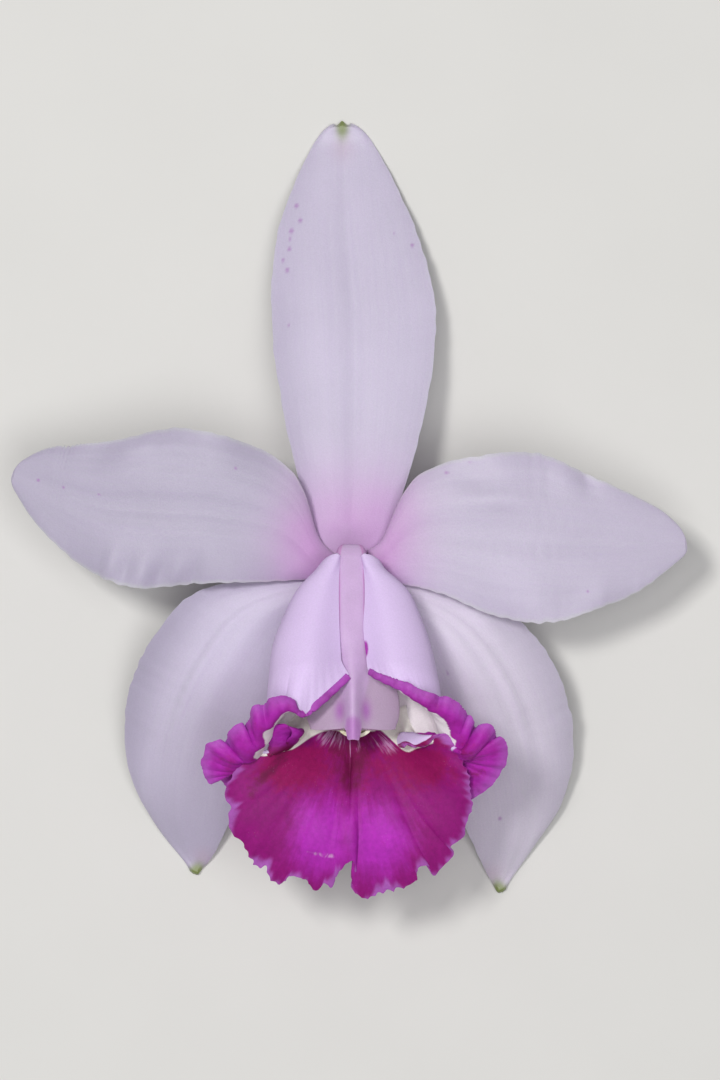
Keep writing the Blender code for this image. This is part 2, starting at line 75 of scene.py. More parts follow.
def smooth(values: tuple | Array, at: Array) -> Array:
    """Reads a smooth curve through equally spaced values.

    Args:
        values: the values, or points, that the curve passes through.
        at: the places to read, as shares 0 to 1 of the whole curve.

    Returns:
        Array: the cubic curve's value at each place; its slope at a value is that of its neighbours.
    """
    values = np.asarray(values, dtype=float)
    steps = len(values) - 1
    slope = np.gradient(values, axis=0)
    place = np.clip(np.asarray(at) * steps, 0.0, steps)
    cell = np.minimum(place.astype(int), steps - 1)
    f = place - cell
    if values.ndim > 1:
        f = f[..., None]
    return ((1 + 2 * f) * (1 - f) ** 2 * values[cell] + f * (1 - f) ** 2 * slope[cell]
            + f ** 2 * (3 - 2 * f) * values[cell + 1] + f ** 2 * (f - 1) * slope[cell + 1])


def step_between(low: float, high: float, at: Array) -> Array:
    """A smooth step: 0 before `low`, 1 past `high`, and 3f^2 - 2f^3 between them."""
    f = np.clip((at - low) / (high - low), 0, 1)
    return f * f * (3 - 2 * f)


def bell(at: Array, middle: float, width: float) -> Array:
    """A bell curve, exp(-((at - middle) / width)^2)."""
    return np.exp(-((at - middle) / width) ** 2)


def wobble(at: Array, seed: int, slowest: float, fastest: float, terms: int = 9) -> Array:
    """A smooth random curve: the sum of sine waves with drawn rates and starts.

    Args:
        at: where to read it.
        seed: settles the draw.
        slowest: the fewest waves in a unit of `at`.
        fastest: the most waves in a unit of `at`.
        terms: how many waves are added.

    Returns:
        Array: values that lie mostly between -1 and 1.
    """
    draw = np.random.default_rng(seed)
    rate = draw.uniform(slowest, fastest, terms)
    start = draw.uniform(0, 2 * math.pi, terms)
    waves = np.sin(2 * math.pi * np.asarray(at)[..., None] * rate + start)
    return waves.sum(axis=-1) / math.sqrt(terms)


def beside(x: Array, y: Array, start: tuple, end: tuple) -> Array:
    """How far each place (x, y) lies from the straight stretch between two others.

    Args:
        x: the places' first coordinates.
        y: their second coordinates.
        start: where the stretch starts.
        end: where it ends.

    Returns:
        Array: the distance of each place.
    """
    run = np.subtract(end, start)
    share = np.clip(((x - start[0]) * run[0] + (y - start[1]) * run[1]) / run.dot(run), 0, 1)
    return np.hypot(x - start[0] - share * run[0], y - start[1] - share * run[1])


def even_margin(points: tuple, count: int) -> Array:
    """Spreads points evenly along the smooth curve through given ones.

    Args:
        points: the given points, in millimetres.
        count: how many equal steps the curve is cut into.

    Returns:
        Array: `count` + 1 points in metres.
    """
    fine = smooth(np.array(points) * MM, np.linspace(0, 1, 60 * len(points)))
    length = np.concatenate(([0.0], np.cumsum(np.linalg.norm(np.diff(fine, axis=0), axis=1))))
    wanted = np.linspace(0, length[-1], count + 1)
    return np.stack([np.interp(wanted, length, fine[:, axis]) for axis in range(3)], axis=1)


def calmed(points: Array, reach: float) -> Array:
    """Evens out a row of points, holding both ends.

    What a point has over the straight line between the ends is averaged with its neighbours under
    a bell curve; past each end the row goes on turned about that end.

    Args:
        points: the row of points.
        reach: the bell's width, as a share of the row.

    Returns:
        Array: the calmer row.
    """
    count = len(points)
    line = points[0] + np.linspace(0, 1, count)[:, None] * (points[-1] - points[0])
    rest = points - line
    wide = np.concatenate((-rest[::-1][:-1], rest, -rest[::-1][1:]))
    spread = max(1.0, reach * count)
    taps = np.arange(-int(3 * spread), int(3 * spread) + 1)
    weight = np.exp(-0.5 * (taps / spread) ** 2)
    weight /= weight.sum()
    even = np.stack([np.convolve(wide[:, axis], weight, mode="same") for axis in range(3)], axis=1)
    return line + even[count - 1:2 * count - 1]


def shares(count: int) -> Array:
    """A column of the shares from 0 to 1 in `count` equal steps."""
    return np.linspace(0, 1, count + 1)[:, None]


def turns(count: int) -> Array:
    """A row of `count` angles equally spread over a whole turn."""
    return np.linspace(0, 2 * math.pi, count + 1)[None, :-1]


def unit(directions: Array) -> Array:
    """Directions made one long."""
    return directions / np.maximum(np.linalg.norm(directions, axis=-1, keepdims=True), 1e-12)


def span(start: Array, leave: Array, end: Array, arrive: Array, q: Array) -> Array:
    """Cubic curves from `start`, leaving along `leave`, to `end`, arriving along `arrive`."""
    near, far = start + leave / 3, end - arrive / 3
    return (1 - q) ** 3 * start + 3 * q * (1 - q) ** 2 * near + 3 * q ** 2 * (1 - q) * far + q ** 3 * end


def turned_over(cells: Array) -> Array:
    """The same cells seen from their other side; a cell that repeats a corner still ends with it."""
    over = cells[:, ::-1]
    return np.where((over[:, 0] == over[:, 1])[:, None], np.roll(over, -2, axis=1), over)


def grid_cells(index: Array) -> Array:
    """The four-cornered cells of a grid of point numbers; a cell that ends in a point repeats it."""
    cells = np.stack((index[:-1, :-1], index[:-1, 1:], index[1:, 1:], index[1:, :-1]), axis=-1)
    return cells.reshape(-1, 4)


def facing(points: Array, cells: Array) -> Array:
    """The unit direction out of a sheet at each point: the sum of its cells' areas, made one long.

    Args:
        points: the sheet's points.
        cells: its four-cornered cells.

    Returns:
        Array: a direction for each point.
    """
    corner = points[cells]
    area = np.cross(corner[:, 2] - corner[:, 0], corner[:, 3] - corner[:, 1])
    total = np.stack([sum(np.bincount(cells[:, k], area[:, axis], len(points)) for k in range(4))
                      for axis in range(3)], axis=1)
    return total / np.maximum(np.linalg.norm(total, axis=1, keepdims=True), 1e-15)


@dataclass
class Sheet:
    """A surface with a thickness: points, cells, half the thickness, and values to paint by."""

    points: Array
    cells: Array
    half: Array
    paint: dict[str, Array] = field(default_factory=dict)

    def raised(self, height: Array) -> "Sheet":
        """The same sheet with every point moved out by its height."""
        moved = self.points + facing(self.points, self.cells) * height[:, None]
        return Sheet(moved, self.cells, self.half, self.paint)

    def body(self) -> "Body":
        """Gives the sheet two faces and a rim.

        Each point moves half the thickness to either side along the way the sheet faces there, and
        the edges that only one cell uses carry the rim.

        Returns:
            Body: the closed skin, with the value "under" 1 on the lower face.
        """
        count = len(self.points)
        offset = facing(self.points, self.cells) * self.half[:, None]
        start = self.cells.ravel()
        end = np.roll(self.cells, -1, axis=1).ravel()
        real = start != end
        start, end = start[real], end[real]
        lone = ~np.isin(start * count + end, end * count + start)
        a, b = start[lone], end[lone]
        rim = np.stack((b, a, a + count, b + count), axis=1)
        points = np.concatenate((self.points + offset, self.points - offset))
        paint = {name: np.tile(values, 2) for name, values in self.paint.items()}
        paint["under"] = np.repeat((0.0, 1.0), count)
        return Body(points, np.concatenate((self.cells, turned_over(self.cells) + count, rim)), paint)


@dataclass
class Body:
    """A closed skin: points, cells of three or four corners, and values to paint by."""

    points: Array
    cells: Array
    paint: dict[str, Array]

    def piece(self, name: str, sharp: float = 60.0) -> bpy.types.Object:
        """Makes the mesh object, smooth but for edges sharper than `sharp` degrees.

        Args:
            name: the object's name.
            sharp: the angle past which an edge stays crisp.

        Returns:
            bpy.types.Object: the object, at the origin, with each paint value as a point attribute.
        """
        triangle = self.cells[:, 2] == self.cells[:, 3]
        used = np.ones(self.cells.shape, dtype=bool)
        used[triangle, 3] = False
        corners = np.where(triangle, 3, 4)
        mesh = bpy.data.meshes.new(name)
        mesh.vertices.add(len(self.points))
        mesh.vertices.foreach_set("co", self.points.astype(np.float32).ravel())
        mesh.loops.add(int(corners.sum()))
        mesh.loops.foreach_set("vertex_index", self.cells[used].astype(np.int32))
        mesh.polygons.add(len(corners))
        mesh.polygons.foreach_set("loop_start", (np.cumsum(corners) - corners).astype(np.int32))
        mesh.update(calc_edges=True)
        for label, values in self.paint.items():
            layer = mesh.attributes.new(label, "FLOAT", "POINT")
            layer.data.foreach_set("value", values.astype(np.float32))
        mesh.shade_smooth()
        mesh.set_sharp_from_angle(angle=math.radians(sharp))
        piece = bpy.data.objects.new(name, mesh)
        bpy.context.scene.collection.objects.link(piece)
        return piece


def rod(rings: Array, paint: dict[str, Array]) -> Body:
    """Joins closed rings of points into a solid whose two ends are closed from a middle point.

    Args:
        rings: the points, as rings by points by three.
        paint: values for each ring's points.

    Returns:
        Body: the closed skin.
    """
    count, around = rings.shape[:2]
    index = np.arange(count * around).reshape(count, around)
    middle = count * around
    first, last = index[0], index[-1]
    near = np.stack((np.full(around, middle), np.roll(first, -1), first, first), axis=1)
    far = np.stack((np.full(around, middle + 1), last, np.roll(last, -1), np.roll(last, -1)), axis=1)
    cells = np.concatenate((grid_cells(np.concatenate((index, index[:, :1]), axis=1)), near, far))
    points = np.concatenate((rings.reshape(-1, 3), rings[:1].mean(axis=1), rings[-1:].mean(axis=1)))
    painted = {name: np.concatenate((values.ravel(), values[:1].mean(axis=1), values[-1:].mean(axis=1)))
               for name, values in paint.items()}
    return Body(points, cells, painted)


# Shader maths.


def linear(code: str) -> tuple[float, float, float, float]:
    """The linear colour of a hex code such as "C6BED6"."""
    parts = [int(code[k:k + 2], 16) / 255 for k in (0, 2, 4)]
    return (*[p / 12.92 if p <= 0.04045 else ((p + 0.055) / 1.055) ** 2.4 for p in parts], 1.0)


def operator(operation: str, turned: bool = False) -> Callable[["Value", "Value | float"], "Value"]:
    """Makes the method of one operator.

    Args:
        operation: what the Math node works out.
        turned: whether its two sides are swapped.

    Returns:
        Callable: the method, which adds one Math node and hands back its output.
    """

    def method(self: "Value", other: "Value | float") -> "Value":
        """Adds the Math node."""
        sides = (other, self) if turned else (self, other)
        return self.graph.node("ShaderNodeMath", {"operation": operation}, dict(enumerate(sides)))

    return method


class Value:
    """An output of a shader node, with the arithmetic that adds Math nodes."""

    __add__ = __radd__ = operator("ADD")
    __sub__ = operator("SUBTRACT")
    __rsub__ = operator("SUBTRACT", turned=True)
    __mul__ = __rmul__ = operator("MULTIPLY")

    def __init__(self, graph: "Graph", socket: bpy.types.NodeSocket) -> None:
        """Keeps the socket and the graph it belongs to."""
        self.graph = graph
        self.socket = socket

    def between(self, low: float, high: float) -> "Value":
        """A smooth step from 0 at `low` to 1 at `high`, which may be the lower number."""
        return self.graph.node("ShaderNodeMapRange", {"interpolation_type": "SMOOTHSTEP"},
                               {"Value": self, "From Min": low, "From Max": high})


class Graph:
    """The nodes of one material."""

    def __init__(self, name: str) -> None:
        """Starts a material with its shader."""
        self.material = bpy.data.materials.new(name)
        self.material.use_nodes = True
        self.tree = self.material.node_tree
        self.shader = self.tree.nodes["Principled BSDF"]

    def node(self, kind: str, settings: dict, sockets: dict, output: int | str = 0) -> Value:
        """Adds any node.

        Args:
            kind: the node's type.
            settings: the node's own settings, set first.
            sockets: the values or links of its input sockets, by name or place.
            output: the output to hand back, by name or place.

        Returns:
            Value: that output.
        """
        node = self.tree.nodes.new(kind)
        for key, setting in settings.items():
            setattr(node, key, setting)
        for key, value in sockets.items():
            self.feed(node.inputs[key], value)
        return Value(self, node.outputs[output])

    def feed(self, socket: bpy.types.NodeSocket, value: "Value | float | tuple") -> None:
        """Links a value to a socket, or sets the socket to a number or colour.

        Args:
            socket: the input socket.
            value: what it gets.
        """
        if isinstance(value, Value):
            self.tree.links.new(value.socket, socket)
        else:
            socket.default_value = value

    def attribute(self, name: str) -> Value:
        """A value painted on the mesh."""
        return self.node("ShaderNodeAttribute", {"attribute_name": name}, {}, "Fac")

    def place(self) -> Value:
        """The object's own coordinates, in metres."""
        return self.node("ShaderNodeTexCoord", {}, {}, "Object")

    def point(self, x: "Value | float", y: "Value | float", z: "Value | float" = 0.0) -> Value:
        """A vector of three values."""
        return self.node("ShaderNodeCombineXYZ", {}, {"X": x, "Y": y, "Z": z})

    def noise(self, at: Value, scale: float, detail: float = 2.0, rough: float = 0.5) -> Value:
        """Soft random values about 0.5."""
        return self.node("ShaderNodeTexNoise", {},
                         {"Vector": at, "Scale": scale, "Detail": detail, "Roughness": rough}, "Fac")

    def cells(self, at: Value, scale: float) -> Value:
        """How far the nearest of many scattered points is, in cells."""
        return self.node("ShaderNodeTexVoronoi", {}, {"Vector": at, "Scale": scale}, "Distance")

    def mix(self, share: "Value | float", first: "Value | tuple", second: "Value | tuple",
            how: str = "MIX") -> Value:
        """Blends two colours."""
        return self.node("ShaderNodeMix", {"data_type": "RGBA", "blend_type": how},
                         {0: share, 6: first, 7: second}, 2)

    def laid_over(self, tone: Value, name: str, code: str, share: float = 1.0) -> Value:
        """Blends a hex colour over a tone where the mesh is painted with the named value."""
        mask = self.attribute(name)
        return self.mix(mask if share == 1.0 else mask * share, tone, linear(code))

    def shade(self, colour: Value, amount: Value) -> Value:
        """Makes a colour lighter or darker by a factor."""
        grey = self.node("ShaderNodeCombineColor", {}, {0: amount, 1: amount, 2: amount})
        return self.mix(1.0, colour, grey, "MULTIPLY")

    def bumped(self, height: Value) -> Value:
        """The surface's direction over a relief whose height is in metres."""
        sockets = {"Height": height, "Distance": 1.0, "Strength": 1.0}
        return self.node("ShaderNodeBump", {}, sockets, "Normal")


@dataclass(frozen=True)
class Finish:
    """A living skin of two tones: tiny glassy cells over flesh that lets a little light through."""

    body: str
    other: str = "D8D2A0"
    patch: float = 900.0
    roughness: float = 0.5
    glow: float = 0.25
    glow_depth: float = 0.9 * MM
    sheen: float = 0.15
    shine: float = 0.4
    cell: float = 0.22 * MM
    cell_height: float = 0.012 * MM
    sparkle: float = 0.10

    def colour(self, g: Graph) -> Value:
        """The two tones in soft patches."""
        share = g.noise(g.place(), self.patch, 3.0).between(0.35, 0.65)
        return g.mix(share, linear(self.body), linear(self.other))

    def relief(self, g: Graph) -> Value:
        """The height of the tiny domed cells, in metres."""
        return (1.0 - g.cells(g.place(), 1 / self.cell)) * self.cell_height

    def gloss(self, g: Graph) -> Value:
        """How rough the skin is: cells differ a little."""
        return g.noise(g.place(), 1 / self.cell, 1.0) * 0.3 + (self.roughness - 0.15)

    def material(self, name: str) -> bpy.types.Material:
        """Builds the material.

        Args:
            name: the material's name.

        Returns:
            bpy.types.Material: a Principled shader with varying colour, roughness and direction.
        """
        g = Graph(name)
        shader = g.shader.inputs
        colour = self.colour(g)
        # Painted glints: each tiny cell's colour is made a little lighter or darker at random.
        twinkle = g.noise(g.place(), 0.9 / self.cell, 2.0, 0.7)
        colour = g.shade(colour, twinkle * (2 * self.sparkle) + (1 - self.sparkle))
        g.feed(shader["Base Color"], colour)
        g.feed(shader["Roughness"], self.gloss(g))
        g.feed(shader["Normal"], g.bumped(self.relief(g)))
        shader["Subsurface Weight"].default_value = self.glow
        shader["Subsurface Scale"].default_value = self.glow_depth
        shader["Subsurface Radius"].default_value = (1.0, 0.75, 1.0)
        shader["Specular IOR Level"].default_value = self.shine
        shader["Sheen Weight"].default_value = self.sheen
        shader["Sheen Roughness"].default_value = 0.5
        return g.material


@dataclass(frozen=True)
class TepalFinish(Finish):
    """The skin of sepals and petals: veins that fan out, a flush at the base and a green tip."""

    flush: str = "C183C6"
    vein: str = "B3A2CB"
    edge: str = "CFCBDC"
    tip: str = "7A8650"
    rose: str = "B98C9E"
    # The greyer tone of the painted shade on a blade's outer side and towards its tip.
    painted_shade: str = "A79FB6"
    speck: str = "9A3FA8"
    vein_height: float = 0.014 * MM
    # How many veins cross the blade in colour and in relief.
    lines: float = 34.0
    ribs: float = 16.0

    def veins(self, g: Graph, rate: float) -> Value:
        """Long soft lines that follow the painted vein number."""
        at = g.point(g.attribute("vein") * rate, g.attribute("along") * 2.4, g.attribute("under") * 3.0)
        return g.noise(at, 1.0, 4.0, 0.6)

    def colour(self, g: Graph) -> Value:
        """Lilac white, veined, flushed, edged, specked, and green at the very tip.

        Args:
            g: the material's nodes.

        Returns:
            Value: the colour.
        """
        line = self.veins(g, self.lines).between(0.42, 0.72)
        cloud = g.noise(g.place(), 70.0, 3.0)
        tone = g.mix(line * 0.11, linear(self.body), linear(self.vein))
        tone = g.laid_over(tone, "edge", self.edge, 0.45)
        # Painted shade: greyer on the outer side and towards the tip.
        tone = g.laid_over(tone, "painted_shade", self.painted_shade)
        flush = (g.attribute("flush") * (cloud * 0.8 + 0.6)).between(0.0, 1.25)
        tone = g.mix(flush, tone, linear(self.flush))
        tone = g.shade(tone, cloud * 0.16 + 0.92)
        tone = g.laid_over(tone, "speck", self.speck, 0.5)
        tone = g.laid_over(tone, "rose", self.rose, 0.2)
        patch = (g.attribute("tip") + (cloud - 0.5) * 0.3 * g.attribute("tip")).between(0.0, 0.9)
        return g.mix(patch, tone, linear(self.tip))

    def relief(self, g: Graph) -> Value:
        """Cells on low veins."""
        return super().relief(g) + self.veins(g, self.ribs) * self.vein_height

    def gloss(self, g: Graph) -> Value:
        """Shinier on the green tip."""
        return super().gloss(g) - g.attribute("tip") * 0.25


@dataclass(frozen=True)
class LipFinish(Finish):
    """The skin of the lip: a pale tube, a cream throat and deep magenta lobes."""

    cream: str = "F3F0E8"
    stain: str = "8C1072"
    # The brighter magenta of the side lobes and of the painted highlights on the front lobe's swellings.
    bright_tone_and_highlight: str = "AE2AB0"
    red: str = "8C0D56"
    # The deep crimson laid on as painted shade, and in the front lobe's darker middle.
    crimson_and_shade: str = "6A1242"
    margin: str = "AC64BC"
    white: str = "CFA4CC"
    vein_height: float = 0.05 * MM
    # How many rays cross a lobe, from the broadest to the finest.
    wisps: float = 17.0
    broad: float = 18.0
    fine: float = 60.0
    # How many soft patches and dots there are in a metre.
    clouds: float = 260.0
    blots: float = 420.0
    grains: float = 1400.0
    dots: float = 1900.0

    def rays(self, g: Graph, rate: float, swirl: float) -> Value:
        """Soft lines that run out along the lobe."""
        at = g.point(g.attribute("ray") * rate, g.attribute("reach") * swirl, g.attribute("under") * 3.0)
        return g.noise(at, 1.0, 4.0, 0.6)

    def colour(self, g: Graph) -> Value:
        """Pale outside, cream in the throat, magenta where the lobes are stained, with bright dots.

        Args:
            g: the material's nodes.

        Returns:
            Value: the colour.
        """
        cloud = g.noise(g.place(), self.clouds, 3.0)
        grain = g.noise(g.place(), self.grains, 2.0)
        ray = self.rays(g, self.broad, 3.0)
        fine = self.rays(g, self.fine, 9.0)
        throat = g.attribute("throat") * (1.0 - g.attribute("under"))
        tone = g.mix(throat, linear(self.body), linear(self.cream))
        edge = (g.attribute("stain") + (ray - 0.5) * 0.5).between(0.35, 0.65)
        mottle = (ray - 0.5) * 0.7 + (cloud - 0.5) * 0.6 + (fine - 0.5) * 0.5
        # Brighter magenta: the side lobes' own tone, and painted highlights on the front lobe's swellings.
        bright_and_highlight = (g.attribute("bright_and_highlight") + mottle * 0.8).between(0.05, 0.9)
        magenta = g.mix(bright_and_highlight, linear(self.stain), linear(self.bright_tone_and_highlight))
        blot = mottle + (g.noise(g.place(), self.blots, 4.0, 0.7) - 0.5) * 1.6 + (grain - 0.5) * 0.5
        magenta = g.mix((g.attribute("red") + blot).between(0.1, 1.1), magenta, linear(self.red))
        # Painted shade in deep crimson, with the front lobe's darker middle.
        magenta = g.mix((g.attribute("crimson_and_shade") + blot * 0.8).between(0.2, 1.0), magenta, linear(self.crimson_and_shade))
        hem = (g.attribute("hem") + mottle * 0.5).between(0.0, 1.5)
        magenta = g.mix(hem, magenta, linear(self.margin))
        wisp = self.rays(g, self.wisps, 5.0).between(0.40, 0.66)
        streak = (g.attribute("streak") * (wisp * 0.8 + 0.3)).between(0.25, 1.0)
        magenta = g.mix(streak * 0.6, magenta, linear(self.white))
        dots = (1.0 - g.cells(g.place(), self.dots)).between(0.78, 0.92) * cloud.between(0.5, 0.75)
        magenta = g.mix(dots * 0.12, magenta, linear(self.white))
        magenta = g.shade(magenta, cloud * 0.34 + grain * 0.4 + 0.63)
        return g.mix(edge, tone, magenta)

    def relief(self, g: Graph) -> Value:
        """Cells on raised rays."""
        return super().relief(g) + self.rays(g, self.broad, 3.0) * self.vein_height * g.attribute("stain")


@dataclass(frozen=True)
class ColumnFinish(Finish):
    """The skin of the column: pink lilac, pinker at its edges, clearer in its wings."""

    pink: str = "C888C4"
    wing: str = "B8A1BB"
    tooth: str = "BC88C6"
    shadow: str = "AC72B6"

    def colour(self, g: Graph) -> Value:
        """Runs from a pink foot to greyer wings, with a lilac tooth.

        Args:
            g: the material's nodes.

        Returns:
            Value: the colour.
        """
        cloud = g.noise(g.place(), 300.0, 3.0)
        tone = g.mix((g.attribute("edge") + (cloud - 0.5) * 0.4).between(0.4, 1.4),
                     linear(self.body), linear(self.pink))
        for name, code in (("wing", self.wing), ("shadow", self.shadow), ("tooth", self.tooth)):
            tone = g.laid_over(tone, name, code)
        return g.shade(tone, cloud * 0.16 + 0.92)


@dataclass(frozen=True)
class StalkFinish(Finish):
    """Green flesh with fine long fibres, a purple bloom towards the flower and a pale cut end."""

    bloom: str = "8A6A86"
    pale: str = "9DB566"
    cut: str = "C5CC96"

    def colour(self, g: Graph) -> Value:
        """Green, streaked along, purple by the flower and pale where it was cut.

        Args:
            g: the material's nodes.

        Returns:
            Value: the colour.
        """
        at = g.point(g.attribute("turn") * 9.0, g.attribute("along") * 6.0)
        streak = g.noise(at, 1.0, 4.0)
        tone = g.mix(streak.between(0.35, 0.7), linear(self.body), linear(self.pale))
        tone = g.mix((0.35 - g.attribute("along") + (streak - 0.5) * 0.3).between(0.0, 0.3),
                     tone, linear(self.bloom))
        return g.laid_over(tone, "cut", self.cut)


FINISHES = {
    Slot.SEPAL: TepalFinish("C9C1D6"),
    Slot.PETAL: TepalFinish("C4BCD0", flush="BE80C2", edge="C4C8C4"),
    Slot.LIP: LipFinish("DAC4EC", roughness=0.6, glow=0.12, sheen=0.0, shine=0.2),
    Slot.COLUMN: ColumnFinish("C8ABD2", roughness=0.42, glow=0.35, sheen=0.0),
    Slot.ANTHER_CAP: Finish("E9E4CF"),
    Slot.POLLINIA: Finish("DDB548", other="E8CC6A", roughness=0.3),
    Slot.STALK: StalkFinish("6E8C3A", roughness=0.45),
}


def finished(body: Body, node: str, slot: Slot, colour: str = "") -> bpy.types.Object:
    """Makes the piece that stands for a node, and gives it its finish.

    Args:
        body: its closed skin.
        node: the node that it stands for.
        slot: the finish that it takes.
        colour: its own main colour, where it differs from the finish's; a tepal's is painted shade when
            darker and painted light when lighter.

    Returns:
        bpy.types.Object: the piece.
    """
    piece = body.piece(node + "_skin")
    finish = FINISHES[slot]
    piece.data.materials.append(replace(finish, body=colour or finish.body).material(piece.name))
    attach(piece, "root")
    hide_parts(node)
    log.info("%s: %d cells", piece.name, len(piece.data.polygons))
    return piece


# Sepals and petals.


@dataclass(frozen=True)
class Fold:
    """A ridge or dent in a blade: its middle, its spread along and across, and its height in mm."""

    along: float
    across: float
    long: float
    wide: float
    height: float


@dataclass(frozen=True)
class Waist:
    """A place where a margin, 1 the left and -1 the right, draws in: the share along, and the mm."""

    side: int
    along: float
    long: float
    inward: float


